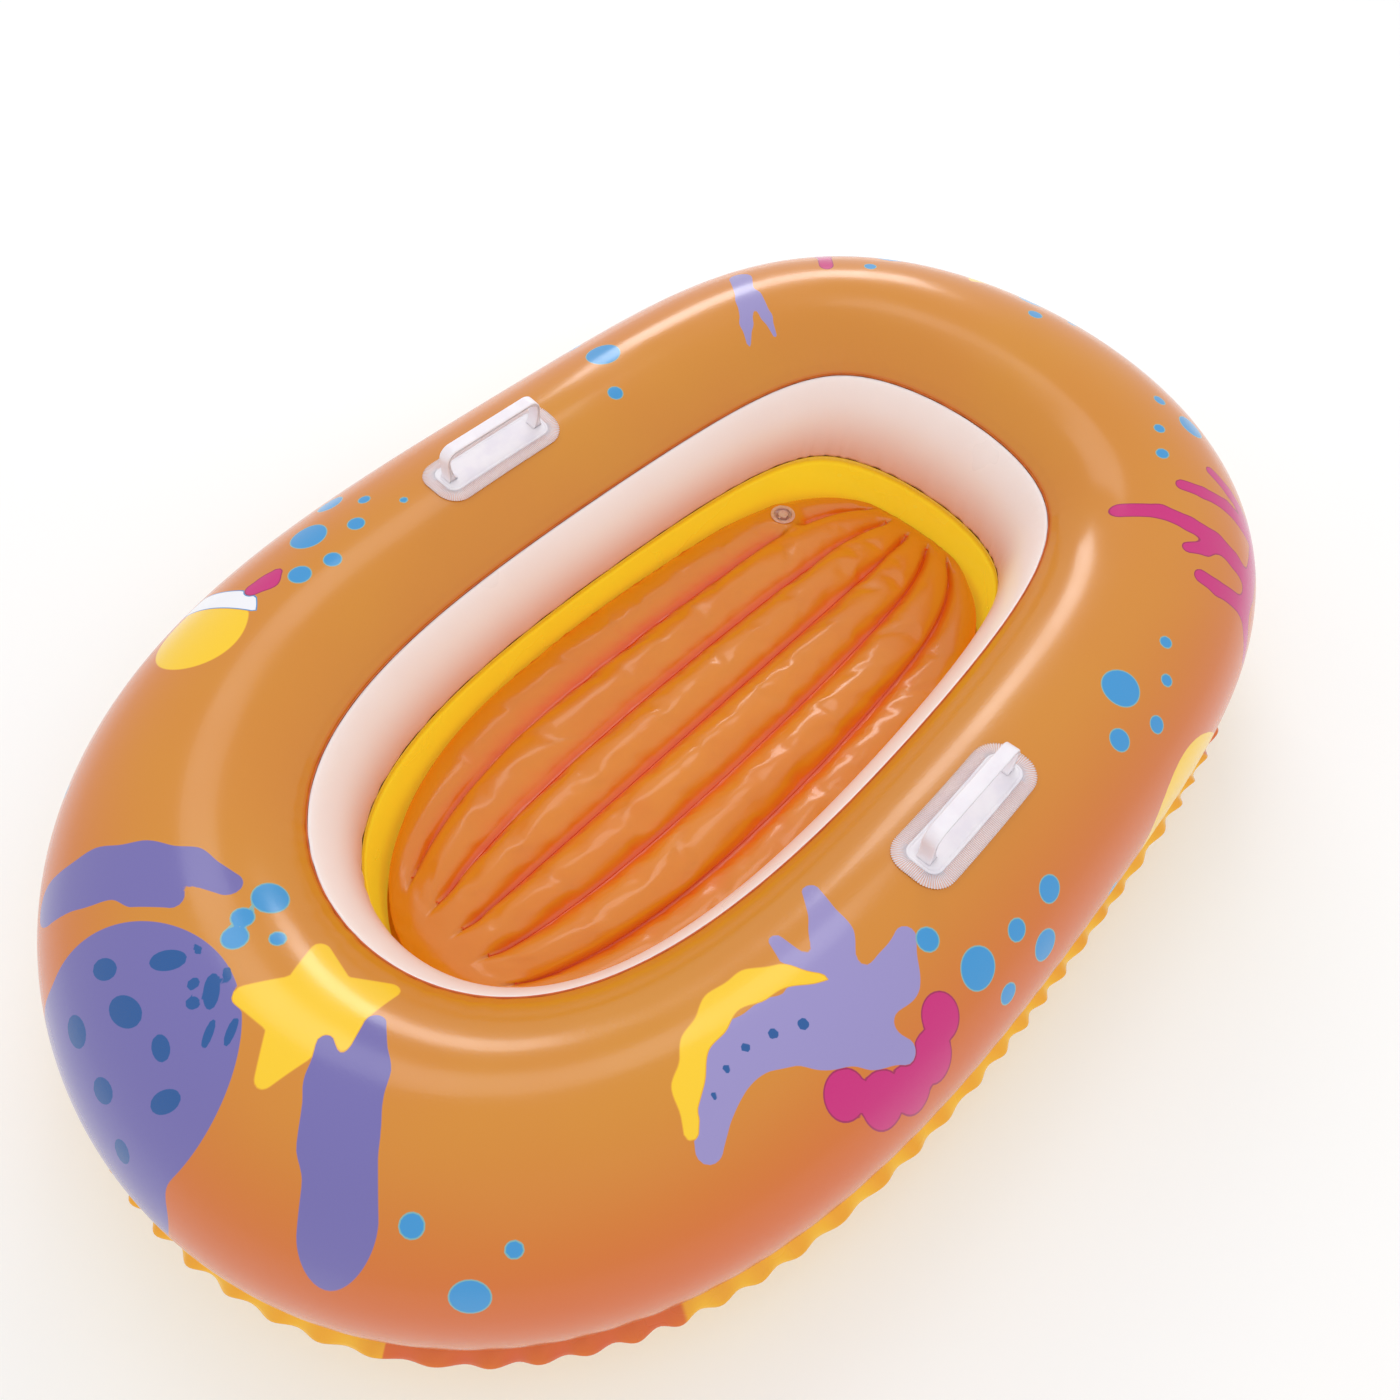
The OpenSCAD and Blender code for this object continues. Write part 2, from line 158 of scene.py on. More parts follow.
class BoatHandleSizes(PropertyGroup):
    """Sizes of the moulded grab handles."""

    along: length("Place Along", "Middle of the handles, forward of the boat's middle", 0.020)
    round_angle: angle("Place Around", "Angle round the tube from its outer equator", 96)
    patch_l: length("Flange Length", "Length of the weld flange", 0.143)
    patch_w: length("Flange Width", "Width of the weld flange", 0.052)
    corner_r: length("Corner Radius", "Corner radius of the weld flange", 0.020)
    border: length("Ribbed Border", "Width of the ribbed border", 0.011)
    patch_t: length("Border Thickness", "Thickness of the ribbed border", 0.0012)
    plate_rise: length("Plate Rise", "Height of the plate over the border", 0.001)
    rib_step: length("Rib Step", "Distance between two ribs", 0.00155)
    rib_r: length("Rib Radius", "Half the width of a rib", 0.00042)
    grip_span: length("Grip Span", "Distance between the root centres", 0.102)
    grip_w: length("Grip Width", "Width of the bar", 0.012)
    grip_t: length("Grip Thickness", "Thickness of the bar", 0.004)
    grip_h: length("Grip Height", "Height of the bar over the plate", 0.033)
    root_l: length("Root Length", "Length of a root at its foot", 0.010)


class BoatValveSizes(PropertyGroup):
    """Sizes of the push-in valves."""

    hull_r: length("Hull Flange Radius", "Radius of the hull valve's flange", 0.017)
    hull_neck_r: length("Hull Neck Radius", "Radius of the hull valve's neck", 0.0055)
    hull_neck_l: length("Hull Neck Length", "Length of the hull valve's neck", 0.018)
    hull_station: angle("Hull Valve Station", "Place along the tube, as the plan's angle", 250)
    hull_angle: angle("Hull Valve Angle", "Place round the tube from its outer equator", 6)
    floor_r: length("Floor Flange Radius", "Radius of the floor valve's flange", 0.014)
    floor_neck_r: length("Floor Neck Radius", "Radius of the floor valve's neck", 0.0048)
    floor_neck_l: length("Floor Neck Length", "Length of the floor valve's neck", 0.012)
    floor_along: FloatProperty(name="Floor Valve Along", description="Share of the mattress's half length",
                               default=-0.57)
    floor_across: FloatProperty(name="Floor Valve Across", description="Share of the half width there",
                                default=0.79)
    ring_w: length("Ring Width", "Width of the flange rings", 0.003)


class BoatColours(PropertyGroup):
    """Colours of the vinyl, of the prints and of the moulded pieces."""

    orange: colour("Orange", "Top sheet", tint(210, 137, 34))
    # Painted shade: a deeper, redder orange for the tube's lower outer side, where less light falls
    orange_painted_shade: colour("Low Orange", "Top sheet on the tube's outer side", tint(211, 98, 22))
    yellow: colour("Yellow", "Bottom sheet and yellow prints", tint(248, 202, 24))
    white: colour("White", "Inner wall", tint(250, 240, 238))
    # Painted light: the pink of light bounced from the orange mattress on to the wall's foot, also used for
    # the wall's random patches
    painted_bounce_pink_and_mottle: colour("Blush", "Foot of the inner wall", tint(242, 206, 196))
    mattress: colour("Mattress", "Crests of the mattress", tint(218, 132, 30))
    # Painted shade: the mattress's colour deep in its valleys
    valley: colour("Valley", "Weld valleys of the mattress", tint(204, 66, 8))
    lilac: colour("Lilac", "Lilac prints", tint(112, 104, 172))
    lilac_pale: colour("Pale Lilac", "Lilac prints on the port side", tint(150, 140, 196))
    magenta: colour("Magenta", "Magenta prints", tint(200, 16, 118))
    wine: colour("Wine", "Outlines of the magenta prints", tint(160, 6, 84))
    blue: colour("Blue", "Bubbles", tint(52, 146, 208))
    pale_blue: colour("Pale Blue", "Outlines of the bubbles", tint(120, 176, 176))
    navy: colour("Navy", "Dark spots", tint(12, 82, 150))
    moulding: colour("Moulding", "Handles", tint(242, 237, 243))
    clear: colour("Clear Vinyl", "Valves", tint(246, 190, 170))
    floor: colour("Ground", "Studio floor", (0.97, 0.97, 0.97))


# The hull's shape ------------------------------------------------------------------


class HullShape:
    """The round tube, bent round an egg-shaped line in plan."""

    def __init__(self, sizes):
        self.side, self.bow, self.stern = sizes.side_d / 2, sizes.bow_d / 2, sizes.stern_d / 2
        self.egg, self.square, self.taper = sizes.egg, sizes.square, sizes.taper
        self.flat = sizes.ground_flat
        self.half_l, self.half_w = sizes.boat_l / 2, sizes.boat_w / 2
        self.a = self.half_l - (self.bow + self.stern) / 2
        self.b = self.half_w - self.side + self.square
        self.x0 = (self.stern - self.bow) / 2 - self.egg
        self.swell = (self.bow + self.stern) / 2 - self.side
        self.lean = (self.bow - self.stern) / 2
        self.rim = math.pi - sizes.rim_angle
        self.floor = math.pi + sizes.floor_angle
        self.seam = -sizes.seam_angle
        self.floor_angle = sizes.floor_angle

    def line(self, t):
        """Place and slope of the tube's line at the plan's angle t."""
        x = self.x0 + self.a * np.cos(t) + self.egg * np.cos(2 * t)
        y = self.b * np.sin(t) + self.square * np.sin(3 * t) + self.taper * np.sin(2 * t)
        dx = -self.a * np.sin(t) - 2 * self.egg * np.sin(2 * t)
        dy = self.b * np.cos(t) + 3 * self.square * np.cos(3 * t) + 2 * self.taper * np.cos(2 * t)
        return x, y, dx, dy

    def speed(self, t):
        _, _, dx, dy = self.line(t)
        return np.hypot(dx, dy)

    def radius(self, t):
        return self.side + self.swell * np.cos(t) ** 2 + self.lean * np.cos(t)

    def at(self, t, phi, high=0.0, low=0.0):
        """Points at the plan's angle t and the angle phi round the tube, high over the sheet."""
        t, phi, high = np.broadcast_arrays(t, phi, high)
        x, y, dx, dy = self.line(t)
        v = np.hypot(dx, dy)
        r = self.radius(t)
        rho = r + high
        return np.stack([x + dy / v * rho * np.cos(phi), y - dx / v * rho * np.cos(phi),
                         np.maximum(low, r - self.flat + rho * np.sin(phi))], -1)

    def outwards(self, t, phi):
        """Directions straight out of the sheet."""
        step = 0.01
        return (self.at(t, phi, step) - self.at(t, phi)) / step

    def place(self, t, phi, high=0.0):
        """Matrix that lays a piece on the tube: X along it, Z straight out of the sheet."""
        d = math.radians(1)
        p = self.at(t, phi)
        s = self.at(t - d, phi) - self.at(t + d, phi)
        s /= np.linalg.norm(s)
        w = np.cross(s, self.at(t, phi - d) - self.at(t, phi + d))
        w /= np.linalg.norm(w)
        v = np.cross(w, s)
        p = p + w * high
        return Matrix([[s[0], v[0], w[0], p[0]], [s[1], v[1], w[1], p[1]],
                       [s[2], v[2], w[2], p[2]], [0, 0, 0, 1]])

    def coordinates(self, points):
        """The plan's angle and the angle round the tube of points near the sheet."""
        steps = 3600
        ts = np.arange(steps) * TURN / steps
        x, y, dx, dy = self.line(ts)
        tree = KDTree(steps)
        for i in range(steps):
            tree.insert((x[i], y[i], 0), i)
        tree.balance()
        near = np.array([tree.find((p[0], p[1], 0))[1] for p in points.tolist()])
        v = np.hypot(dx, dy)[near]
        out = (points[:, 0] - x[near]) * dy[near] / v - (points[:, 1] - y[near]) * dx[near] / v
        up = points[:, 2] - (self.radius(ts[near]) - self.flat)
        return ts[near], np.arctan2(up, out)


class MattressShape:
    """Outline and crown of the floor mattress, tied to the floor weld."""

    def __init__(self, hull, sizes):
        def reach(r):
            return r * (1 + math.cos(hull.floor_angle))
        bow = hull.half_l - reach(hull.bow) - sizes.gap_bow
        stern = hull.half_l - reach(hull.stern) + sizes.tuck_stern
        self.half_w = hull.half_w - reach(hull.side) + sizes.tuck_side
        self.a = (bow + stern) / 2
        self.egg, self.square, self.taper = 1.2 * hull.egg, hull.square / 2, 1.8 * hull.taper
        self.x0 = (bow - stern) / 2 - self.egg
        self.edge_h, self.crest_h, self.chambers = sizes.edge_h, sizes.crest_h, sizes.chambers
        self.under_h = 0.0006

    def x(self, t, grow=0.0):
        return self.x0 + (self.a + grow) * np.cos(t) + self.egg * np.cos(2 * t)

    def y(self, t, grow=0.0):
        return ((self.half_w + self.square + grow) * np.sin(t) + self.square * np.sin(3 * t)
                + self.taper * np.sin(2 * t))

    def weld_share(self, t):
        """1 where the weld lines run, fading to 0 beyond their ends."""
        return 1 - eased((np.abs(np.cos(t)) - 0.87) / 0.07)

    def top(self, t, f):
        q = 2 * np.mod((f + 1) * self.chambers / 2, 1) - 1
        valley = 1 - np.sqrt(np.clip(1 - q * q, 0, 1))
        ends = np.sqrt(1 - np.abs(np.cos(t)) ** 14)
        edge = np.sqrt(np.clip(1 - np.abs(f) ** 8, 0, 1))
        dip = 0.94 * self.weld_share(t) * valley
        return self.edge_h + (self.crest_h - self.edge_h) * ends * edge * (1 - dip)

    def under(self, t):
        return self.edge_h - (self.edge_h - self.under_h) * np.minimum(1, 2.6 * np.sin(t))


# Meshes ------------------------------------------------------------------------------


def added(name, data):
    """A new object in the scene."""
    thing = bpy.data.objects.new(name, data)
    bpy.context.scene.collection.objects.link(thing)
    return thing


def make_piece(name, points, faces, material):
    """A mesh object whose faces point outwards."""
    mesh = bpy.data.meshes.new(name)
    mesh.from_pydata(np.asarray(points, float).tolist(), [], [list(f) for f in faces])
    mesh.validate()
    piece = added(name, mesh)
    finish_mesh(piece, material)
    return piece


def finish_mesh(piece, material):
    """Turns the faces outwards, shades them smooth and gives the piece its one material."""
    mesh = piece.data
    mesh.update()
    mesh.calc_loop_triangles()
    tri = np.empty(len(mesh.loop_triangles) * 3, np.int32)
    mesh.loop_triangles.foreach_get("vertices", tri)
    a, b, c = points_of(mesh)[tri.reshape(-1, 3)].transpose(1, 0, 2)
    if np.einsum("ij,ij->", a, np.cross(b, c)) < 0:
        mesh.flip_normals()
    mesh.polygons.foreach_set("use_smooth", [True] * len(mesh.polygons))
    mesh.materials.clear()
    mesh.materials.append(material)
    mesh.update()


def points_of(mesh):
    p = np.empty(len(mesh.vertices) * 3, np.float64)
    mesh.vertices.foreach_get("co", p)
    return p.reshape(-1, 3)


def put_points(mesh, points):
    mesh.vertices.foreach_set("co", np.asarray(points, np.float32).ravel())
    mesh.update()


def put_value(mesh, name, values):
    layer = mesh.attributes.new(name, "FLOAT", "POINT")
    layer.data.foreach_set("value", np.asarray(values, np.float32))


def hand_over(piece, slot, *nodes, body="root"):
    """Tells the frame which body a piece rides on and hides the nodes it stands for; the slot, its finish, is
    not used.
    """
    if body:
        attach(piece, body)
    if nodes:
        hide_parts(*nodes)


def rings_to_faces(count, n, closed=False, ends=True):
    """Faces between rings of n points, numbered ring after ring; ends are closed to two last points."""
    i = np.arange(count if closed else count - 1)[:, None]
    j = np.arange(n)[None, :]
    nxt, j2 = (i + 1) % count, (j + 1) % n
    quads = np.stack([i * n + j, i * n + j2, nxt * n + j2, nxt * n + j], -1).reshape(-1, 4).tolist()
    if not closed and ends:
        k = count * n
        quads += [[k, (m + 1) % n, m] for m in range(n)]
        quads += [[k + 1, (count - 1) * n + m, (count - 1) * n + (m + 1) % n] for m in range(n)]
    return quads


def ring_parts(rings, closed=False):
    """Points and faces of a skin over rings; an open row of rings is closed to a point at both ends."""
    points = np.concatenate(rings if closed else [*rings, rings[0].mean(0)[None], rings[-1].mean(0)[None]])
    return points, rings_to_faces(len(rings), len(rings[0]), closed)


def laid(points, place):
    """Points moved to a place given as a matrix."""
    m = np.array(place)
    return points @ m[:3, :3].T + m[:3, 3]


def lathe(profile, place, n=64):
    """Rings round the place's Z axis for a profile of (radius, height)."""
    turn = np.arange(n) * TURN / n
    return [laid(np.stack([r * np.cos(turn), r * np.sin(turn), np.full(n, h)], -1), place)
            for r, h in profile]


def rounded(corners, r, steps=5):
    """A closed profile whose corners are rounded off by r."""
    out = []
    k = len(corners)
    for i in range(k):
        p0, p1, p2 = (np.array(corners[(i + d) % k], float) for d in (-1, 0, 1))
        d0, d2 = p0 - p1, p2 - p1
        cut = min(r, np.linalg.norm(d0) * 0.45, np.linalg.norm(d2) * 0.45)
        a, b = p1 + d0 / np.linalg.norm(d0) * cut, p1 + d2 / np.linalg.norm(d2) * cut
        for s in np.linspace(0, 1, steps):
            out.append(tuple((1 - s) ** 2 * a + 2 * s * (1 - s) * p1 + s * s * b))
    return out


def joined(parts):
    """Points and faces of several lists of (points, faces) together."""
    points, faces, base = [], [], 0
    for p, f in parts:
        points.append(np.asarray(p))
        faces += [[i + base for i in face] for face in f]
        base += len(p)
    return np.concatenate(points), faces


def plain_copy(piece, material):
    """Turns what the piece's modifiers make into its own plain mesh."""
    graph = bpy.context.evaluated_depsgraph_get()
    mesh = bpy.data.meshes.new_from_object(piece.evaluated_get(graph))
    piece.modifiers.clear()
    old, piece.data = piece.data, mesh
    mesh.name = piece.name
    bpy.data.meshes.remove(old)
    finish_mesh(piece, material)
    return piece


def taken_up(piece):
    """Removes a helper object and gives back its points and faces."""
    parts = points_of(piece.data), [list(f.vertices) for f in piece.data.polygons]
    bpy.data.objects.remove(piece)
    return parts


def cut_round(piece, profile, place):
    """Cuts a round hole or well with the given profile out of a piece."""
    cutter = make_piece("cutter", *ring_parts(lathe(profile, place)), bpy.data.materials[0])
    modifier = piece.modifiers.new("cut", "BOOLEAN")
    modifier.operation, modifier.solver, modifier.object = "DIFFERENCE", "EXACT", cutter
    plain_copy(piece, piece.data.materials[0])
    bpy.data.objects.remove(cutter)


# Node trees ----------------------------------------------------------------------------


class Nodes:
    """Short words to add and wire the nodes of self.tree."""

    def put(self, socket, value):
        """Links a socket or a term, or sets a plain value."""
        value = getattr(value, "socket", value)
        if isinstance(value, bpy.types.NodeSocket):
            self.tree.links.new(value, socket)
        elif socket.type == "RGBA":
            socket.default_value = (*value[:3], 1)
        else:
            socket.default_value = value

    def add(self, kind, settings=None, **inputs):
        node = self.tree.nodes.new(kind)
        for key, value in (settings or {}).items():
            setattr(node, key, value)
        for key, value in inputs.items():
            self.put(node.inputs[key.replace("_", " ")], value)
        return node


class Term:
    """A number in a node tree that can be added, multiplied and so on."""

    def __init__(self, nodes, socket):
        self.nodes, self.socket = nodes, socket

    def work_out(self, operation, *others):
        node = self.nodes.add("ShaderNodeMath", {"operation": operation})
        for socket, value in zip(node.inputs, (self, *others)):
            self.nodes.put(socket, value)
        return Term(self.nodes, node.outputs[0])


for word, operation in {"__add__": "ADD", "__radd__": "ADD", "__mul__": "MULTIPLY", "__rmul__": "MULTIPLY",
                        "__sub__": "SUBTRACT", "__truediv__": "DIVIDE", "cos": "COSINE", "sin": "SINE",
                        "root": "SQRT", "nearest": "ROUND", "over": "GREATER_THAN",
                        "least": "MINIMUM"}.items():
    setattr(Term, word, partialmethod(Term.work_out, operation))


class NodeTree(Nodes):
    """A geometry node tree with named inputs."""

    def __init__(self, name, **kinds):
        self.tree = bpy.data.node_groups.new(name, "GeometryNodeTree")
        face = self.tree.interface
        for way in ("OUTPUT", "INPUT"):
            face.new_socket("Geometry", in_out=way, socket_type="NodeSocketGeometry")
        self.sockets = {label: face.new_socket(label.replace("_", " "), in_out="INPUT",
                                               socket_type="NodeSocket" + kind)
                        for label, kind in kinds.items()}
        self.into, self.out = self.add("NodeGroupInput"), self.add("NodeGroupOutput")

    def take(self, label):
        return self.into.outputs[label]

    def terms(self, *labels):
        return (Term(self, self.take(label)) for label in labels)

    def place_terms(self):
        """The X and Y of the points' places."""
        apart = self.add("ShaderNodeSeparateXYZ", Vector=self.add("GeometryNodeInputPosition").outputs[0])
        return Term(self, apart.outputs[0]), Term(self, apart.outputs[1])

    def vectors(self, name):
        """The vectors stored on the points under a name."""
        node = self.add("GeometryNodeInputNamedAttribute", {"data_type": "FLOAT_VECTOR"}, Name=name)
        return node.outputs[0]

    def close(self, geometry):
        """Ends the tree in Realize Instances and Set Material."""
        real = self.add("GeometryNodeRealizeInstances", Geometry=geometry.outputs[0])
        last = self.add("GeometryNodeSetMaterial", Geometry=real.outputs[0], Material=self.take("Material"))
        self.put(self.out.inputs[0], last.outputs[0])

    def run_on(self, piece, **values):
        """Runs the tree on a piece, with its inputs set by identifier, and keeps the plain result."""
        modifier = piece.modifiers.new(self.tree.name, "NODES")
        modifier.node_group = self.tree
        for label, value in values.items():
            modifier[self.sockets[label].identifier] = value
        return plain_copy(piece, values["Material"])


def tube_sheet_tree():
    """A sheet of the tube between two angles round it, closed all round with its thickness."""
    labels = ["Half Length", "Half Width", "Offset", "Egg", "Corner Fill", "Taper", "Side Radius",
              "Swell", "Lean", "Ground Flat", "Start Angle", "End Angle", "Thickness"]
    tree = NodeTree("tube_sheet", **{label.replace(" ", "_"): "Float" for label in labels}, Stations="Int",
                    Outer_Rings="Int", Inner_Rings="Int", Material="Material")
    a, b, x0, egg, square, taper, side, swell, lean, flat, start, end, thick = tree.terms(*labels)
    stations, outer, inner = tree.terms("Stations", "Outer Rings", "Inner Rings")
    rings = outer + inner
    grid = tree.add("GeometryNodeMeshGrid", Size_X=1.0, Size_Y=1.0,
                    Vertices_X=stations + 1, Vertices_Y=rings + 1)
    across, up = tree.place_terms()
    t = (across + 0.5) * TURN
    ring = ((up + 0.5) * rings).nearest()
    is_last = ring.over(rings - 0.5)
    is_inner = ring.over(outer - 0.5) - is_last
    out_share = (ring / (outer - 1)).least(1.0)
    in_share = (ring - outer) / (inner - 1) * -1 + 1
    share = out_share * (is_last * -1 + 1) * (is_inner * -1 + 1) + in_share * is_inner
    phi = start + share * (end - start)
    c1, s1 = t.cos(), t.sin()
    c2, s2 = (t * 2).cos(), (t * 2).sin()
    c3, s3 = (t * 3).cos(), (t * 3).sin()
    x = x0 + a * c1 + egg * c2
    y = b * s1 + square * s3 + taper * s2
    dx = (a * s1 + egg * s2 * 2) * -1
    dy = b * c1 + square * c3 * 3 + taper * c2 * 2
    v = (dx * dx + dy * dy).root()
    r = side + swell * c1 * c1 + lean * c1
    rho = r - thick * is_inner
    out = rho * phi.cos() / v
    place = tree.add("ShaderNodeCombineXYZ", X=x + dy * out, Y=y - dx * out, Z=r - flat + rho * phi.sin())
    bent = tree.add("GeometryNodeSetPosition", Geometry=grid.outputs[0], Position=place.outputs[0])
    tree.close(tree.add("GeometryNodeMergeByDistance", Geometry=bent.outputs[0], Distance=1e-5))
    return tree


def bead_tree():
    """A low round-backed weld bead swept along a line."""
    tree = NodeTree("weld_bead", Width="Float", Height="Float", Sides="Int", Material="Material")
    curve = tree.add("GeometryNodeMeshToCurve", Mesh=tree.take("Geometry"))
    upright = tree.add("GeometryNodeSetCurveNormal", {"mode": "FREE"}, Curve=curve.outputs[0])
    tree.put(next(s for s in upright.inputs if s.name == "Normal"), tree.vectors("lift"))
    round_profile = tree.add("GeometryNodeCurvePrimitiveCircle", Resolution=tree.take("Sides"), Radius=0.5)
    width, height = tree.terms("Width", "Height")
    x, y = tree.place_terms()
    flat = tree.add("ShaderNodeCombineXYZ", X=x * width, Y=y * height, Z=0.0)
    profile = tree.add("GeometryNodeSetPosition", Geometry=round_profile.outputs[0],
                       Position=flat.outputs[0])
    tree.close(tree.add("GeometryNodeCurveToMesh", Curve=upright.outputs[0],
                        Profile_Curve=profile.outputs[0], Fill_Caps=True))
    return tree


def rib_tree():
    """Short ribs set at an even step along a closed outline, each pointing inwards."""
    tree = NodeTree("border_ribs", Step="Float", Rib_Length="Float", Rib_Radius="Float", Material="Material")
    curve = tree.add("GeometryNodeMeshToCurve", Mesh=tree.take("Geometry"))
    even = tree.add("GeometryNodeResampleCurve", {"mode": "LENGTH"}, Curve=curve.outputs[0],
                    Length=tree.take("Step"))
    turn = tree.add("FunctionNodeAxesToRotation", {"primary_axis": "Z", "secondary_axis": "X"})
    tree.put(turn.inputs[0], tree.vectors("inward"))
    tree.put(turn.inputs[1], tree.vectors("lift"))
    rod = tree.add("GeometryNodeMeshCylinder", Vertices=8, Side_Segments=1, Fill_Segments=1,
                   Radius=tree.take("Rib Radius"), Depth=tree.take("Rib Length"))
    tree.close(tree.add("GeometryNodeInstanceOnPoints", Points=even.outputs[0], Instance=rod.outputs[0],
                        Rotation=turn.outputs[0]))
    return tree


def line_piece(name, points, closed, **vectors):
    """A wire of points that carries named directions, such as the sheet's outward one, at each."""
    n = len(points)
    edges = [(i, (i + 1) % n) for i in range(n if closed else n - 1)]
    mesh = bpy.data.meshes.new(name)
    mesh.from_pydata(np.asarray(points).tolist(), edges, [])
    for label, values in vectors.items():
        layer = mesh.attributes.new(label, "FLOAT_VECTOR", "POINT")
        layer.data.foreach_set("vector", np.asarray(values, np.float32).ravel())
    return added(name, mesh)


# Materials ------------------------------------------------------------------------------


class Finish(Nodes):
    """A material and the short words to wire it with."""

    def __init__(self, name):
        self.material = bpy.data.materials.new(name)
        self.material.use_nodes = True
        self.tree = self.material.node_tree
        self.tree.nodes.clear()
        self.shader = self.add("ShaderNodeBsdfPrincipled")
        self.add("ShaderNodeOutputMaterial", Surface=self.shader.outputs[0])
        self.place = self.add("ShaderNodeTexCoord").outputs["Object"]

    def wire(self, **inputs):
        """Links or sets the shader's own sockets."""
        for key, value in inputs.items():
            self.put(self.shader.inputs[key.replace("_", " ")], value)

    def times(self, a, b):
        node = self.add("ShaderNodeMath", {"operation": "MULTIPLY"})
        self.put(node.inputs[0], a)
        self.put(node.inputs[1], b)
        return node.outputs[0]

    def mix(self, share, a, b):
        """Colour a, going over to colour b as the share goes from 0 to 1."""
        node = self.add("ShaderNodeMix", {"data_type": "RGBA"})
        for number, value in ((0, share), (6, a), (7, b)):
            self.put(node.inputs[number], value)
        return node.outputs[2]

    def value(self, name):
        node = self.add("ShaderNodeAttribute", {"attribute_type": "GEOMETRY", "attribute_name": name})
        return node.outputs["Fac"]

    def noise(self, scale, detail=2.0):
        return self.add("ShaderNodeTexNoise", Vector=self.place, Scale=scale, Detail=detail,
                        Roughness=0.5).outputs["Fac"]

    def ramp(self, value, low, high, to_low=0.0, to_high=1.0):
        node = self.add("ShaderNodeMapRange", {"interpolation_type": "SMOOTHSTEP"}, Value=value,
                        From_Min=low, From_Max=high, To_Min=to_low, To_Max=to_high)
        return node.outputs["Result"]

    def bump(self, height, distance, **under):
        return self.add("ShaderNodeBump", Height=height, Distance=distance, Strength=1.0, **under).outputs[0]

    def mottled(self, base, other, scale, detail, low, high, most=1.0):
        """The base colour with soft cloudy patches of another."""
        return self.mix(self.ramp(self.noise(scale, detail), low, high, 0.0, most), base, other)

    def glossy_vinyl(self, base, rough=0.2, orange_peel=0.00006, slack=0.0006, coat=0.18):
        """Soft PVC film: smooth, glossy, slightly slack, with a fine orange-peel skin."""
        slack_skin = self.bump(self.noise(11, 1), slack)
        self.wire(Base_Color=base, Normal=self.bump(self.noise(420, 2), orange_peel, Normal=slack_skin),
                  Roughness=self.ramp(self.noise(9, 3), 0.3, 0.7, rough - 0.03, rough + 0.05),
                  IOR=1.52, Coat_Weight=coat, Coat_Roughness=0.08)
        return self.material

    def soft_moulding(self, base, cloud, smooth, matt, grain, detail, **constants):
        """Moulded soft PVC: its gloss a little cloudy between smooth and matt, with a fine skin."""
        self.wire(Base_Color=base, Roughness=self.ramp(self.noise(cloud, 2), 0.3, 0.7, smooth, matt),
                  Normal=self.bump(self.noise(grain, detail), 0.00003), IOR=1.5, **constants)
        return self.material


def printed_vinyl(c):
    """Orange film with its prints, each drawn from its own distance field in millimetres."""
    f = Finish("printed_vinyl")
    # Painted shade: the top sheet turns to the shaded orange from 95 degrees round the tube down to 20, and
    # is fully shaded below that
    base = f.mix(f.ramp(f.value("round_angle"), 95, 20), c.orange, c.orange_painted_shade)
    base = f.mottled(base, tint(206, 108, 40), 5, 2, 0.35, 0.65, 0.16)
    rim = f.value("rim_distance")
    edge = f.times(f.ramp(rim, 5.5, 4.2), f.ramp(rim, 0.0, 0.8))
    base = f.mix(f.times(edge, 0.35), base, tint(206, 88, 26))
    for name, fill, line, line_w in (
            ("magenta", c.magenta, c.wine, 1.1), ("lilac", c.lilac, c.lilac, 0.4),
            ("lilac_pale", c.lilac_pale, c.lilac_pale, 0.4), ("yellow", c.yellow, tint(232, 168, 30), 0.6),
            ("white", tint(240, 240, 246), tint(60, 140, 200), 1.0), ("navy", c.navy, c.navy, 0.3),
            ("blue", c.blue, c.pale_blue, 0.9)):
        field = f.value("print_" + name)
        paint = f.mix(f.ramp(field, -line_w - 0.25, -line_w + 0.25), fill, line)
        base = f.mix(f.ramp(field, 0.28, -0.28), base, paint)
    return f.glossy_vinyl(base)


def white_vinyl(c):
    f = Finish("white_vinyl")
    # Painted light: the wall turns pink towards its foot, as if lit by light bounced from the orange
    # mattress; the same pink also makes faint random patches
    base = f.mix(f.ramp(f.value("wall_height"), 0.75, 0.0), c.white, c.painted_bounce_pink_and_mottle)
    return f.glossy_vinyl(f.mottled(base, c.painted_bounce_pink_and_mottle, 7, 2, 0.4, 0.7, 0.1), 0.3, slack=0.0008, coat=0.15)


def yellow_vinyl(c):
    f = Finish("yellow_vinyl")
    # Painted light: the yellow film glows where it is single, standing in for light from under the boat
    # shining through the cockpit floor's film
    f.wire(Emission_Color=f.mix(f.noise(8, 3), tint(196, 228, 60), tint(202, 222, 56)),
           Emission_Strength=f.ramp(f.value("single_film"), 0.2, 0.8, 0.0, 0.34))
    return f.glossy_vinyl(f.mottled(c.yellow, tint(246, 182, 20), 8, 3, 0.35, 0.7, 0.35), 0.26, slack=0.0012)


def flange_vinyl(c):
    f = Finish("flange_vinyl")
    base = f.mix(f.ramp(f.value("print_yellow"), 0.3, -0.3), tint(214, 92, 36), tint(244, 186, 28))
    # Painted shade: the flange turns deeper orange with its ripple, most on the waves that bend up
    base = f.mix(f.times(f.ramp(f.value("ripple"), -1, 1), 0.4), base, tint(236, 140, 20))
    return f.glossy_vinyl(base, 0.24)


def weld_vinyl(c):
    f = Finish("weld_vinyl")
    return f.glossy_vinyl(f.mottled(tint(214, 104, 34), tint(198, 84, 24), 60, 2, 0.3, 0.7), 0.3)


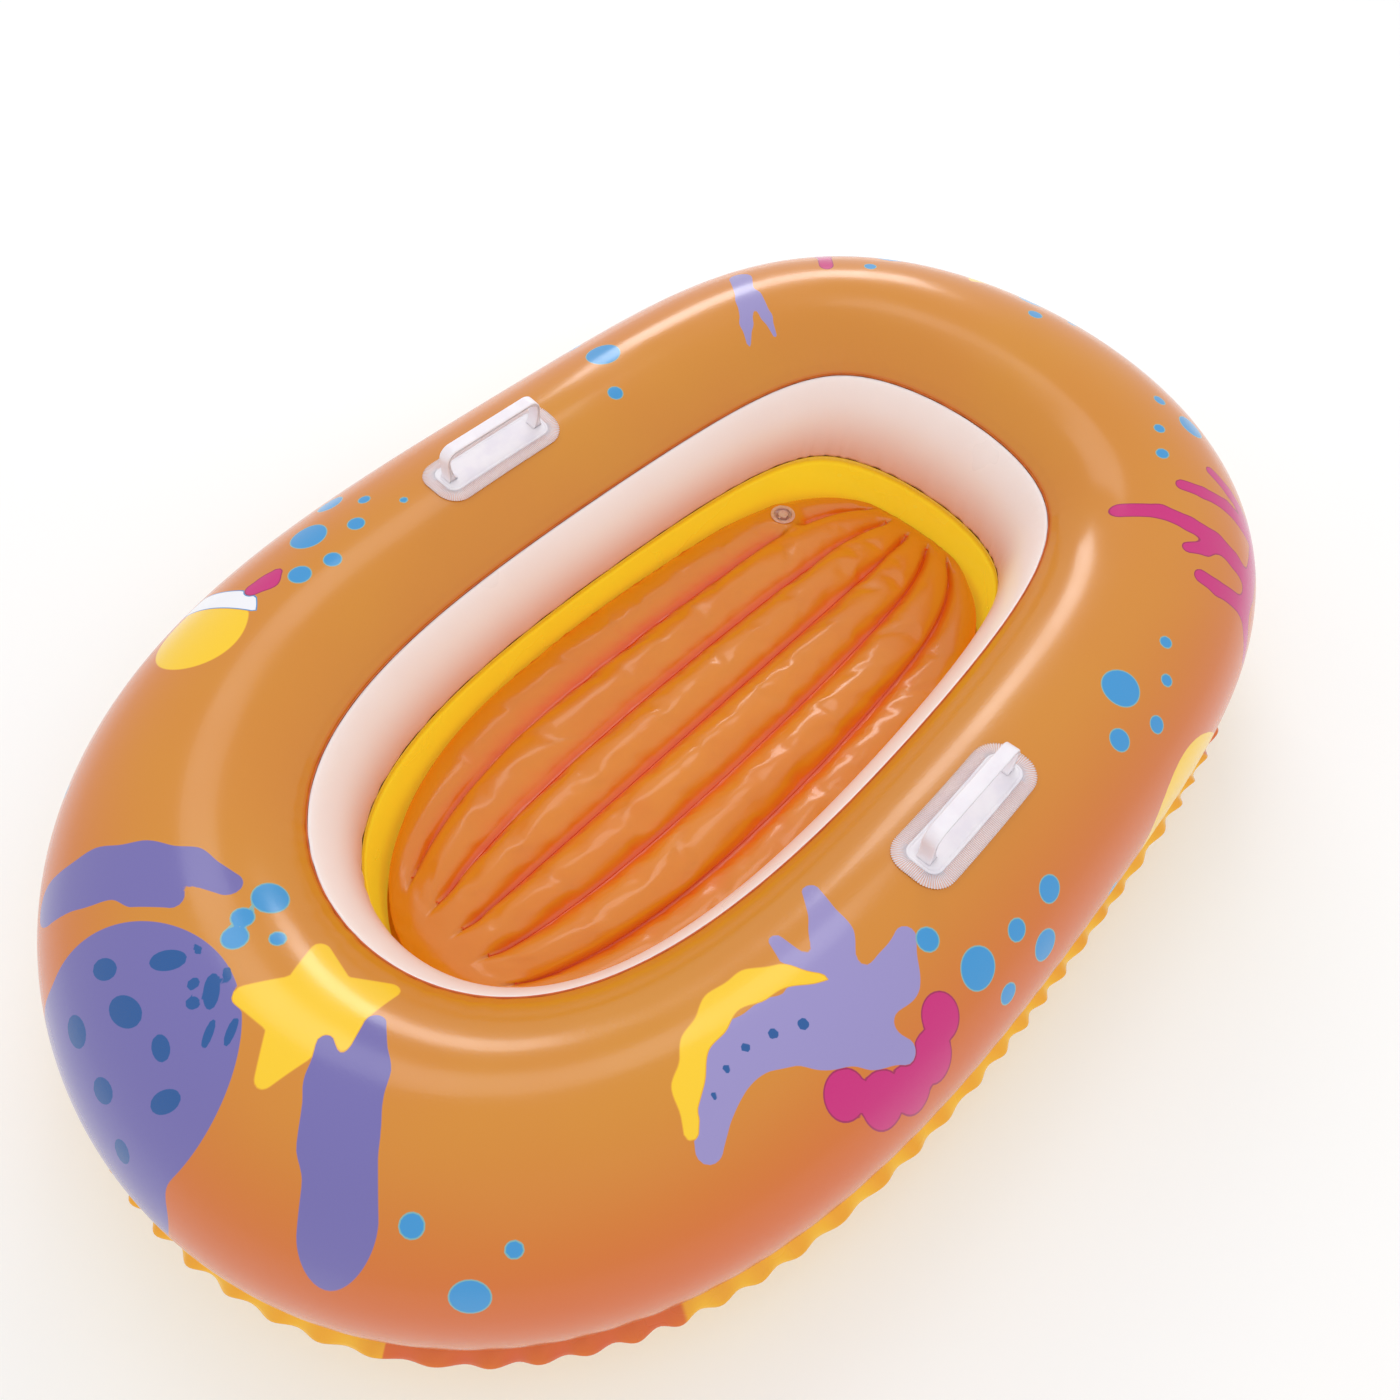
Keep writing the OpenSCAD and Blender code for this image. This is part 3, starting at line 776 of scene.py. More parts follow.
def mattress_vinyl(c):
    """Orange film over air, with painted shade: pale on the crests, deep red-orange down into the valleys by
    how low the film lies.
    """
    f = Finish("mattress_vinyl")
    valley = f.value("valley")
    deep = f.ramp(valley, 0.2, 1.0)
    # Painted light: the film glows a little everywhere, and stronger and redder in the valleys, for light
    # that has come through the films
    f.wire(Emission_Color=f.mix(deep, tint(226, 120, 10), tint(236, 84, 6)),
           Emission_Strength=f.ramp(valley, 0.1, 1.0, 0.05, 0.24))
    # Painted shade: the base colour deepens to the valley colour as the film drops below its crest
    base = f.mottled(f.mix(deep, c.mattress, c.valley), tint(214, 112, 26), 14, 3, 0.4, 0.75, 0.3)
    return f.glossy_vinyl(base, slack=0.0007, coat=0.3)


def mattress_weld_vinyl(c):
    f = Finish("mattress_weld_vinyl")
    base = f.mottled(tint(216, 66, 6), tint(226, 92, 14), 900, 1, 0.4, 0.6)
    # Painted light: the welds glow faintly in their own colour
    f.wire(Emission_Color=base, Emission_Strength=0.16)
    return f.glossy_vinyl(base, 0.45, orange_peel=0.0002, coat=0.0)


def moulded_vinyl(c, name="moulded_vinyl", deep=tint(226, 220, 234), thin_border=False):
    """Milky soft PVC, a little cloudy; through a thin border the orange below shines."""
    f = Finish(name)
    base = f.mottled(c.moulding, deep, 60, 3, 0.35, 0.7, 0.5)
    if thin_border:
        base = f.mix(f.ramp(f.value("inset"), 10.2, 10.9), tint(238, 188, 172), base)
    return f.soft_moulding(base, 120, 0.3, 0.42, 1500, 2, Subsurface_Weight=0.25,
                           Subsurface_Radius=(0.004, 0.0035, 0.0035), Subsurface_Scale=1.0)


def clear_vinyl(c):
    """Soft clear PVC with a pinkish tinge, as on a valve."""
    f = Finish("clear_vinyl")
    base = f.mottled(c.clear, tint(250, 214, 200), 300, 2, 0.35, 0.7)
    return f.soft_moulding(base, 200, 0.1, 0.2, 900, 1, Transmission_Weight=0.35, Coat_Weight=0.4)


def ground_finish(c):
    f = Finish("studio_floor")
    f.wire(Base_Color=f.mottled(c.floor, (0.95, 0.95, 0.95), 2, 2, 0.3, 0.7, 0.1), Roughness=0.9,
           Specular_IOR_Level=0.1)
    return f.material


# Prints -------------------------------------------------------------------------------


def circle(x, y, cx, cy, r):
    return np.hypot(x - cx, y - cy) - r


def oval(x, y, cx, cy, rx, ry, turn=0):
    c, s = math.cos(math.radians(turn)), math.sin(math.radians(turn))
    u, v = (x - cx) * c + (y - cy) * s, -(x - cx) * s + (y - cy) * c
    k1 = np.hypot(u / rx, v / ry)
    k2 = np.hypot(u / rx ** 2, v / ry ** 2) + 1e-9
    return k1 * (k1 - 1) / k2


def blended(a, b, k):
    """The nearer of two shapes, run together over k millimetres."""
    h = np.maximum(k - np.abs(a - b), 0) / k
    return np.minimum(a, b) - h * h * k / 4


def limb(x, y, *knots, k=6):
    """A rounded limb through (x, y, radius) knots."""
    out = None
    for (ax, ay, ar), (bx, by, br) in zip(knots, knots[1:]):
        dx, dy = bx - ax, by - ay
        s = np.clip(((x - ax) * dx + (y - ay) * dy) / (dx * dx + dy * dy), 0, 1)
        d = np.hypot(x - ax - s * dx, y - ay - s * dy) - (ar + s * (br - ar))
        out = d if out is None else blended(out, d, k)
    return out


def star(x, y, cx, cy, tip_r, notch_r, turn, soft):
    """A five-pointed star with softened tips."""
    x, y = x - cx, y - cy
    a = np.mod(np.arctan2(y, x) - math.radians(turn) + math.pi / 5, TURN / 5) - math.pi / 5
    r = np.hypot(x, y)
    px, py = r * np.cos(a), np.abs(r * np.sin(a))
    tip, notch = tip_r - 2.4 * soft, notch_r - soft
    ax, ay = tip, 0.0
    bx, by = notch * math.cos(math.pi / 5), notch * math.sin(math.pi / 5)
    ex, ey = bx - ax, by - ay
    s = np.clip(((px - ax) * ex + (py - ay) * ey) / (ex * ex + ey * ey), 0, 1)
    d = np.hypot(px - ax - s * ex, py - ay - s * ey)
    side = np.sign((px - ax) * ey - (py - ay) * ex)
    return d * side - soft


class PrintSheet:
    """Draws prints on the tube, each in millimetres on a flat patch that touches the sheet."""

    FAR = 400.0

    def __init__(self, hull, points):
        self.hull, self.points = hull, points
        self.layers = {k: np.full(len(points), self.FAR) for k in
                       ("magenta", "lilac", "lilac_pale", "yellow", "white", "navy", "blue")}

    def draw(self, layer, t, phi, shape, reach=150, cut=()):
        """Adds shape(x, y), with x along the tube from the bow over port, and y up to the cockpit."""
        m = np.array(self.hull.place(math.radians(t), math.radians(phi)))
        d = (self.points - m[:3, 3]) * 1000
        near = np.flatnonzero((np.abs(d @ m[:3, 2]) < 85) & (np.einsum("ij,ij->i", d, d) < reach ** 2))
        x, y = -(d[near] @ m[:3, 0]), -(d[near] @ m[:3, 1])
        field = shape(x, y)
        self.layers[layer][near] = np.minimum(self.layers[layer][near], field)
        for other in cut:
            self.layers[other][near] = np.maximum(self.layers[other][near], -field)

    def store(self, mesh):
        for k, v in self.layers.items():
            put_value(mesh, "print_" + k, np.clip(v, -60, 60))


# Bubbles: plan angle, angle round the tube, radius in millimetres
BUBBLES = (
    (300, 73, 17), (301, 94, 8), (304.5, 89, 10), (296, 86, 8), (293, 75.5, 6), (290.5, 91, 4), (295, 58, 13),
    (258.5, 79, 18), (262, 105, 8), (258, 48, 9),
    (158, 72, 7), (153, 63, 15), (152, 85, 6), (146.5, 90, 6.5),
    (112, 74, 6), (108, 65, 6), (103, 79, 17), (103, 57.5, 8), (98, 67, 10),
    (69.5, 75.5, 9), (71.5, 54, 16), (76.5, 52, 9), (81.5, 52, 11), (78.5, 35, 13), (73, 34, 9),
    (351.5, 123, 13), (353, 112, 8), (355, 107, 9), (357.5, 118, 6),
    (206, 60, 14), (209, 80, 7), (203, 42, 8), (335, 20, 12), (331, 36, 7), (329, 8, 8), (24, 62, 8),
    (28, 40, 13), (31, 55, 6), (181, 78, 8), (184, 60, 14), (177, 62, 6), (128, 10, 9), (90, 12, 7))

# Waves of the yellow band over the outer seam: plan angle, half width and height in degrees, and
# how pointed the wave is
WAVES = ((105, 11, 55, 0.5), (70, 46, 23, 2), (255, 11, 55, 0.5), (290, 46, 23, 2), (5, 24, 30, 2),
         (165, 26, 26, 2), (212, 24, 34, 2))
WAVE_FOOT = -20


def wave_edge(t):
    """Angle round the tube up to which the yellow band reaches."""
    deg = np.degrees(t)
    edge = np.full(deg.shape, float(WAVE_FOOT))
    for centre, half, height, point in WAVES:
        away = np.abs(np.mod(deg - centre + 180, 360) - 180) / half
        edge = np.maximum(edge, WAVE_FOOT + height * np.cos(np.clip(away, 0, 1) * math.pi / 2) ** point)
    return np.radians(edge)


def wave_band(hull, t, phi):
    """Millimetres round the tube from the yellow band's edge, less than 0 inside the band."""
    return (phi - wave_edge(t)) * hull.radius(t) * 1000


def draw_prints(sheet):
    """All prints on the top sheet: generic sea shapes without faces."""
    s = sheet
    for t, phi, r in BUBBLES:
        s.draw("blue", t, phi, lambda x, y, r=r: circle(x, y, 0, 0, r), reach=60)
    # A round pebble-like bell with spots and a soft arm on the bow
    s.draw("lilac", 357, 80, lambda x, y: blended(oval(x, y, 2, -40, 84, 81),
                                                  limb(x, y, (-60, -80, 20), (-30, -110, 18), (40, -112, 18),
                                                       (75, -85, 20)), 12))
    for spot in ((-24, 15, 12, 7, 50), (13, 26, 12, 5, -30), (9, 38, 6, 2.5, -20), (-19, 32, 5, 2, 10),
                 (1, 20, 4, 4, 0), (12, 14, 5, 4, 20), (36, 12, 3, 9, 40), (44, 23, 3, 9, 40),
                 (-50, -20, 10, 7, 30), (-15, -22, 14, 9, 20), (22, -15, 9, 6, -10), (50, -30, 11, 7, 60),
                 (-35, -58, 12, 8, 0), (10, -62, 10, 7, 15), (45, -75, 8, 6, 0)):
        s.draw("navy", 357, 80, lambda x, y, spot=spot: oval(x, y, *spot))
    s.draw("lilac", 345, 90, lambda x, y: blended(
        limb(x, y, (-30, -75, 17), (-24, -40, 20), (-13, -8, 20), (-4, 22, 13), (17, 43, 9)),
        limb(x, y, (2, -8, 14), (18, 10, 7)), 8))
    # A plain star, held by a lilac arm
    s.draw("yellow", 8, 110, lambda x, y: star(x, y, 0, 1, 64, 31, 60, 7), cut=("lilac", "navy"))
    s.draw("lilac", 15, 103, lambda x, y: blended(
        limb(x, y, (34, -80, 24), (16, -40, 20), (8, -5, 15), (-3, 25, 7)),
        limb(x, y, (8, -45, 18), (-10, -18, 12), (-23, 1, 5.5)), 8), cut=("yellow",))
    # A soft lilac frond with three leaves and a yellow edge, over a scalloped magenta sponge
    def sponge(x, y):
        out = circle(x, y, 76, -56, 16)
        for cx, cy, r in ((58, -72, 17), (34, -78, 17), (10, -72, 18), (-12, -54, 16)):
            out = np.minimum(out, circle(x, y, cx, cy, r))
        return out
    def frond(x, y):
        out = limb(x, y, (0, -12, 22), (-26, 2, 21), (-54, 8, 18), (-84, -2, 16), (-104, -26, 9))
        for leaf in (((0, -12, 20), (28, 2, 14), (46, 30, 13), (60, 64, 6)),
                     ((0, -12, 20), (34, -20, 15), (62, -18, 16), (86, -2, 8)),
                     ((0, -14, 20), (22, -40, 14), (40, -58, 8)),
                     ((0, -12, 20), (12, 18, 11), (14, 50, 5))):
            out = blended(out, limb(x, y, *leaf, k=10), 12)
        return out
    s.draw("magenta", 58, 85, sponge)
    s.draw("lilac_pale", 58, 85, frond, cut=("magenta",))
    s.draw("yellow", 58, 85, lambda x, y: np.maximum(
        limb(x, y, (16, 10, 7), (-2, 26, 9), (-22, 33, 13), (-46, 34, 13), (-72, 25, 11), (-94, 10, 8),
             (-108, -12, 5), k=12),
        -limb(x, y, (20, -4, 12), (-10, 4, 15), (-38, 14, 11), (-64, 8, 10), (-90, -10, 9), k=12)),
        cut=("lilac_pale",))
    for spot in ((-10, -4, 4), (-30, 3, 3.6), (-50, 7, 3.2), (-68, 4, 2.8), (-84, -4, 2.5)):
        s.draw("navy", 58, 85, lambda x, y, spot=spot: circle(x, y, *spot))
    # A branching coral on the port quarter, and another on the starboard side
    def coral(x, y):
        stem = limb(x, y, (-68, -80, 6), (-40, -56, 10), (-10, -60, 12), (30, -66, 11), (66, -66, 9))
        parts = (((8, 76, 8), (12, 48, 8), (7, 22, 8.5), (2, -4, 10), (-4, -30, 9.5), (-12, -58, 9.5)),
                 ((51, 33, 6.5), (52, 12, 7), (54, -16, 8), (48, -50, 9.5)),
                 ((88, 4, 6), (78, -20, 7.5), (64, -50, 9)),
                 ((-45, 4, 7.5), (-47, -14, 8), (-42, -50, 9)),
                 ((-20, 20, 6), (-13, 4, 7.5), (0, -8, 8.5)))
        for knots in parts:
            stem = blended(stem, limb(x, y, *knots, k=4), 7)
        return stem
    s.draw("magenta", 131, 72, coral, reach=130)
    s.draw("magenta", 218, 40, lambda x, y: coral(-x, y), reach=130)
    # A forked lilac weed over the starboard side
    s.draw("lilac_pale", 235, 105, lambda x, y: blended(
        limb(x, y, (21, 26, 2), (12, 4, 6), (-3, -24, 9), (-20, -60, 12)),
        limb(x, y, (-10, 27, 2), (-12, 5, 5), (-14, -26, 9)), 7))
    # A plain striped fish on the starboard bow
    s.draw("yellow", 313, 75, lambda x, y: oval(x, y, 12, -10, 45, 40, 20))
    s.draw("white", 313, 75, lambda x, y: np.maximum(
        np.abs(x + 24 + 0.18 * y) - 11, oval(x, y, 6, -12, 52, 44, 20)), cut=("yellow",))
    s.draw("magenta", 313, 75, lambda x, y: limb(x, y, (-38, 6, 8), (-50, 12, 9), (-61, 12, 5)),
           cut=("white",))
    # Another star, and a lilac arch, on the sides that the first prints leave bare
    s.draw("yellow", 192, 52, lambda x, y: star(x, y, 0, 0, 44, 21, 10, 4))
    s.draw("lilac", 270, 22, lambda x, y: limb(x, y, (-60, -30, 12), (-30, 0, 16), (0, 10, 14), (30, -4, 16),
                                                (58, -34, 10)))


# Operators ---------------------------------------------------------------------------

# Rings of a sheet's inner face, steps round the plan of the plainer sheets, of the seam's flange and
# of the rim's bead
INNER_RINGS = 8
PLAIN_STEPS = 480
FLANGE_STEPS = 1500
BEAD_STEPS = 900
# Half the thickness of the seam's flange
FLANGE_HALF = 0.00045
# How far the hull valve's hole is cut to both sides of the sheet, and how deep the floor valve's well is
CUT_REACH = 0.006
WELL_DEPTH = 0.026
# Rings along the mattress, points across a chamber and under it, and the plan's angle at its end rings
PAD_RINGS = 150
CHAMBER_STEPS = 14
UNDER_POINTS = 17
PAD_END = math.radians(2.2)
# How far the cloth run may move a point, and how far up
CLOTH_REACH = 0.005
CLOTH_RISE = 0.0025
CLOTH_FRAMES = 20
# The mattress is flat to this radius round its valve, and level with its chambers this much further out
VALVE_FLAT_R = 0.0152
VALVE_FLAT_FADE = 0.012
UP = (0, 0, 1.0)


class BoatOperator:
    """What the boat's operators share."""

    bl_options = {"REGISTER", "UNDO"}

    def start(self, context, group="boat_hull"):
        """The hull's shape, the mattress's shape, a group of sizes and the colours."""
        scene = context.scene
        hull = HullShape(scene.boat_hull)
        return hull, MattressShape(hull, scene.boat_mattress), getattr(scene, group), scene.boat_colours


def tube_sheet(name, hull, sizes, start, end, outer, stations, material):
    """A closed sheet of the tube, made by its node tree and kept as a plain mesh."""
    tree = tube_sheet_tree()
    return tree.run_on(added(name, bpy.data.meshes.new(name)), Half_Length=hull.a, Half_Width=hull.b,
                       Offset=hull.x0, Egg=hull.egg, Corner_Fill=hull.square, Taper=hull.taper,
                       Side_Radius=hull.side, Swell=hull.swell, Lean=hull.lean, Ground_Flat=hull.flat,
                       Start_Angle=start, End_Angle=end, Thickness=sizes.sheet_t, Stations=stations,
                       Outer_Rings=outer, Inner_Rings=INNER_RINGS, Material=material)


class BOAT_OT_top_sheet(BoatOperator, Operator):
    """Builds the printed orange sheet from the cockpit rim over the tube to the outer seam"""

    bl_idname = "boat.top_sheet"
    bl_label = "Printed Top Sheet"

    def execute(self, context):
        hull, _, sizes, c = self.start(context)
        valves = context.scene.boat_valves
        gap = sizes.weld_gap / 2 / hull.side
        piece = tube_sheet("top_sheet", hull, sizes, hull.rim - gap, hull.seam + gap,
                           sizes.around, sizes.stations, printed_vinyl(c))
        hole, place = valves.hull_r - valves.ring_w, hull.place(valves.hull_station, valves.hull_angle)
        cut_round(piece, [(hole, -CUT_REACH), (hole, CUT_REACH)], place)
        points = points_of(piece.data)
        t, phi = hull.coordinates(points)
        rim_mm = (hull.rim - phi) * hull.radius(t) * 1000
        pinch = -0.0009 * np.exp(-(rim_mm / 4.0) ** 2) - 0.0006 * np.exp(-(np.abs(rim_mm - 7) / 2.5) ** 2)
        points += hull.outwards(t, phi) * (pinch + self.creases(t, phi))[:, None]
        put_points(piece.data, points)
        put_value(piece.data, "round_angle", np.degrees(phi))
        put_value(piece.data, "rim_distance", rim_mm)
        prints = PrintSheet(hull, points)
        draw_prints(prints)
        prints.layers["yellow"] = np.minimum(prints.layers["yellow"], wave_band(hull, t, phi))
        prints.store(piece.data)
        hand_over(piece, "printed_vinyl", "hull_top_sheet")
        return {"FINISHED"}

    def creases(self, t, phi):
        """Short puckers across the rim and the seam, where the tube's bend leaves spare film."""
        bend = 0.35 + 0.65 * np.abs(np.cos(t)) ** 3
        wave = np.sin(t * 61 + 1.3 * np.sin(t * 17)) * np.sin(t * 23 + 0.7)
        wave = wave + 0.4 * np.sin(t * 97 + 2 * np.sin(5 * t))
        near_rim = np.exp(-((phi - math.radians(144)) / 0.16) ** 2)
        near_seam = np.exp(-((phi - math.radians(-36)) / 0.3) ** 2)
        return wave * bend * (0.00035 * near_rim + 0.0007 * near_seam)


class BOAT_OT_inner_wall(BoatOperator, Operator):
    """Builds the white wall inside the cockpit"""

    bl_idname = "boat.inner_wall"
    bl_label = "Inner Wall"

    def execute(self, context):
        hull, _, sizes, c = self.start(context)
        gap = sizes.weld_gap / 2 / hull.side
        fold = 1.5 * sizes.sheet_t / hull.side
        piece = tube_sheet("inner_wall", hull, sizes, hull.rim + gap, hull.floor - fold - 2 * gap,
                           30, PLAIN_STEPS, white_vinyl(c))
        points = points_of(piece.data)
        t, phi = hull.coordinates(points)
        phi = np.where(phi < 0, phi + TURN, phi)
        share = (hull.floor - phi) / (hull.floor - hull.rim)
        near_foot, near_rim = np.exp(-(share / 0.22) ** 2), np.exp(-((1 - share) / 0.12) ** 2)
        wave = np.sin(t * 53 + 1.2 * np.sin(t * 19)) + 0.5 * np.sin(t * 91 + 2.0 * np.sin(t * 7))
        lift = wave * (0.00045 * near_foot + 0.0002 * near_rim) * (0.4 + 0.6 * np.cos(t) ** 2)
        lift = lift - 0.0005 * np.exp(-(share / 0.05) ** 2) - 0.0005 * np.exp(-((1 - share) / 0.04) ** 2)
        put_points(piece.data, points + hull.outwards(t, phi) * lift[:, None])
        put_value(piece.data, "wall_height", np.clip(share, 0, 1))
        hand_over(piece, "white_vinyl", "hull_inner_wall")
        return {"FINISHED"}


class BOAT_OT_bottom_sheet(BoatOperator, Operator):
    """Builds the yellow sheet: the tube's lower outside, its underside and the cockpit floor"""

    bl_idname = "boat.bottom_sheet"
    bl_label = "Bottom Sheet"

    def execute(self, context):
        hull, pad, sizes, c = self.start(context)
        t = np.arange(PLAIN_STEPS) * TURN / PLAIN_STEPS
        gap, thick, margin = sizes.weld_gap / 2 / hull.side, sizes.sheet_t, sizes.floor_margin
        fold = hull.floor - 1.5 * thick / hull.side
        seam = TURN + hull.seam - gap
        slack = np.sin(t * 47 + 1.5 * np.sin(t * 11)) + 0.6 * np.sin(t * 83 + np.sin(t * 5))

        def plate(z, grow):
            return np.stack([pad.x(t, grow), pad.y(t, grow), np.full(PLAIN_STEPS, z)], -1)

        def slope(a, b, share):
            """The cockpit floor's film between its flat part and its weld, sagging and slack."""
            p = a + (b - a) * share
            p[:, 2] += (slack * 0.0008 - 0.010) * math.sin(math.pi * share)
            p[:, 2] = np.maximum(p[:, 2], a[:, 2])
            return p

        low_edge, high_edge = plate(0, margin), plate(thick, margin - thick)
        low_weld, high_weld = hull.at(t, hull.floor), hull.at(t, fold, thick)
        insets, up = (0.11, 0.07, 0.03), np.linspace(0, 1, 10)[1:-1]
        rings = [plate(0, -g) for g in insets] + [low_edge]
        rings += [slope(low_edge, low_weld, q) for q in up]
        rings += [hull.at(t, p) for p in np.linspace(hull.floor, seam, 46)]
        rings += [hull.at(t, p, -thick, thick) for p in np.linspace(seam, fold, 24)] + [high_weld]
        rings += [slope(high_edge, high_weld, q) for q in np.linspace(1, 0, 10)[1:-1]]
        rings += [high_edge] + [plate(thick, -g) for g in reversed(insets)]
        piece = make_piece("bottom_sheet", *ring_parts(rings), yellow_vinyl(c))
        # single_film marks the cockpit floor's upper film between its flat part and its weld, where the
        # yellow film glows with painted light
        film = np.zeros(len(rings))
        film[-12:-4] = 1
        put_value(piece.data, "single_film", np.concatenate([np.repeat(film, PLAIN_STEPS), [0, 0]]))
        hand_over(piece, "yellow_vinyl", "hull_bottom_sheet")
        return {"FINISHED"}


class BOAT_OT_seam_flange(BoatOperator, Operator):
    """Builds the rippled flange of the outer seam, both sheets welded together"""

    bl_idname = "boat.seam_flange"
    bl_label = "Seam Flange"

    def execute(self, context):
        hull, _, sizes, c = self.start(context)
        t = np.arange(FLANGE_STEPS) * TURN / FLANGE_STEPS
        root = hull.at(t, hull.seam)
        steps = np.linalg.norm(np.roll(root, -1, 0) - root, axis=1)
        s = np.concatenate([[0], np.cumsum(steps)[:-1]])
        # A whole number of ripples, so that the ends meet
        turns = TURN * s * round(steps.sum() / sizes.ripple_step) / steps.sum()
        wave = np.sin(turns + 0.9 * np.sin(t * 9) + 0.6 * np.sin(t * 23)) * (0.75 + 0.25 * np.sin(t * 13 + 1))
        frill = 1 + 0.13 * np.sin(turns + 2 * np.sin(9 * t)) * (0.6 + 0.4 * np.sin(11 * t))
        shares = (0, 0.2, 0.4, 0.6, 0.8, 0.97)
        rings, marks = [], []
        for share, side in [(q, 1) for q in shares] + [(1.0, 0)] + [(q, -1) for q in reversed(shares)]:
            reach = sizes.flange_w * share * frill - 0.0012 * (share == 0)
            bend = sizes.ripple * wave * share ** 1.3 + FLANGE_HALF * side - 0.002 * share ** 2
            rings.append(hull.at(t, hull.seam + bend / (hull.side + reach), reach))
            marks.append(wave * share)
        piece = make_piece("seam_flange", *ring_parts(rings, closed=True), flange_vinyl(c))
        # The ripple value also drives the flange's painted shade
        put_value(piece.data, "ripple", np.concatenate(marks))
        band = np.clip(wave_band(hull, t, hull.seam), -60, 60)
        put_value(piece.data, "print_yellow", np.tile(band, len(rings)))
        hand_over(piece, "yellow_vinyl")
        return {"FINISHED"}


class BOAT_OT_rim_weld(BoatOperator, Operator):
    """Builds the thin weld bead just outside the cockpit rim"""

    bl_idname = "boat.rim_weld"
    bl_label = "Rim Weld"

    def execute(self, context):
        hull, _, sizes, c = self.start(context)
        t = np.arange(BEAD_STEPS) * TURN / BEAD_STEPS
        phi = hull.rim - 0.0011 / hull.side
        piece = line_piece("rim_weld", hull.at(t, phi, -0.0009), True, lift=hull.outwards(t, phi))
        bead_tree().run_on(piece, Width=sizes.weld_line_w, Height=0.0011, Sides=10, Material=weld_vinyl(c))
        hand_over(piece, "printed_vinyl")
        return {"FINISHED"}


def floor_valve_place(context, pad):
    v = context.scene.boat_valves
    t = math.acos(v.floor_along)
    return Matrix.Translation((float(pad.x(t)), float(-pad.y(t) * v.floor_across), pad.crest_h))


class BOAT_OT_mattress(BoatOperator, Operator):
    """Builds the inflatable floor, blows it up as cloth and marks its valleys"""

    bl_idname = "boat.mattress"
    bl_label = "Floor Mattress"

    def execute(self, context):
        _, pad, sizes, c = self.start(context, "boat_mattress")
        valves = context.scene.boat_valves
        n_top = pad.chambers * CHAMBER_STEPS + 1
        stops = np.linspace(PAD_END, math.pi - PAD_END, PAD_RINGS)
        f_top, f_under = np.linspace(-1, 1, n_top), np.linspace(0.96, -0.96, UNDER_POINTS)
        rings = []
        for t in stops:
            x, y = pad.x(t), pad.y(t)
            under = pad.edge_h - (pad.edge_h - pad.under(t)) * (1 - 0.35 * f_under ** 6)
            rings.append(np.concatenate([
                np.stack([np.full(n_top, x), y * f_top, pad.top(t, f_top)], -1),
                np.stack([np.full(UNDER_POINTS, x), y * f_under, under], -1)]))
        piece = make_piece("floor_mattress_film", *ring_parts(rings), mattress_vinyl(c))
        rest = points_of(piece.data)
        self.blow_up(piece, self.welded(pad, stops, n_top), sizes)
        moved = points_of(piece.data) - rest
        far = np.linalg.norm(moved, axis=1)
        moved *= (np.minimum(far, CLOTH_REACH) / np.maximum(far, 1e-9))[:, None]
        moved[:, 2] = np.minimum(moved[:, 2], CLOTH_RISE)
        put_points(piece.data, rest + moved)
        points = points_of(piece.data)
        place = floor_valve_place(context, pad)
        away = np.hypot(points[:, 0] - place[0][3], points[:, 1] - place[1][3])
        on_top = np.zeros((PAD_RINGS, len(rings[0])), bool)
        on_top[:, 2:n_top - 2] = True
        flat = np.append(on_top.ravel(), [False, False]) & (away < VALVE_FLAT_R + VALVE_FLAT_FADE)
        share = eased((away - VALVE_FLAT_R) / VALVE_FLAT_FADE)
        level = pad.crest_h - 0.0001
        points[:, 2] = np.where(flat, level + (points[:, 2] - level) * share, points[:, 2])
        put_points(piece.data, points)
        # How low the film lies below its crest, which drives the mattress's painted shade and painted glow
        z = points[:-2, 2].reshape(PAD_RINGS, -1)
        valley = np.ones(z.shape)
        for i, t in enumerate(stops):
            crest = pad.top(t, np.full(n_top, 1 / pad.chambers))
            valley[i, :n_top] = np.clip(1 - (z[i, :n_top] - pad.edge_h - 0.001) / (crest - pad.edge_h), 0, 1)
        put_value(piece.data, "valley", np.append(valley.ravel(), [1, 1]))
        well = valves.floor_r - valves.ring_w
        cut_round(piece, [(well - 0.0004, -WELL_DEPTH), (well, -WELL_DEPTH + 0.0004), (well, 2 * CUT_REACH)],
                  place)
        hand_over(piece, "mattress_vinyl", "floor_mattress")
        return {"FINISHED"}

    def welded(self, pad, stops, n_top):
        """The points that the cloth run holds: underneath, the outline, the ends and the weld lines."""
        held = np.zeros((PAD_RINGS, n_top + UNDER_POINTS), bool)
        held[:, n_top - 1:] = True
        held[:, 0] = True
        lines = np.array([pad.weld_share(t) > 0.5 for t in stops])
        held[lines, CHAMBER_STEPS:n_top - 1:CHAMBER_STEPS] = True
        held[[0, -1]] = True
        return np.append(held.ravel(), [True, True])

    def blow_up(self, piece, held, sizes):
        """Runs the top film as cloth under air pressure, held at its welds, and keeps the result."""
        piece.vertex_groups.new(name="welded").add(np.flatnonzero(held).tolist(), 1.0, "REPLACE")
        cloth = piece.modifiers.new("air", "CLOTH")
        for key, value in {"quality": 6, "mass": 0.25, "tension_stiffness": 22, "compression_stiffness": 22,
                           "shear_stiffness": 8, "bending_stiffness": 0.4, "tension_damping": 8,
                           "compression_damping": 8, "use_pressure": True,
                           "uniform_pressure_force": sizes.pressure, "vertex_group_mass": "welded",
                           "pin_stiffness": 50, "shrink_min": -sizes.spare}.items():
            setattr(cloth.settings, key, value)
        cloth.settings.effector_weights.gravity = 0
        cloth.collision_settings.use_collision = False
        cloth.point_cache.frame_start, cloth.point_cache.frame_end = 1, CLOTH_FRAMES
        for number in range(1, CLOTH_FRAMES + 1):
            bpy.context.scene.frame_set(number)
        plain_copy(piece, piece.data.materials[0])
        bpy.context.scene.frame_set(1)


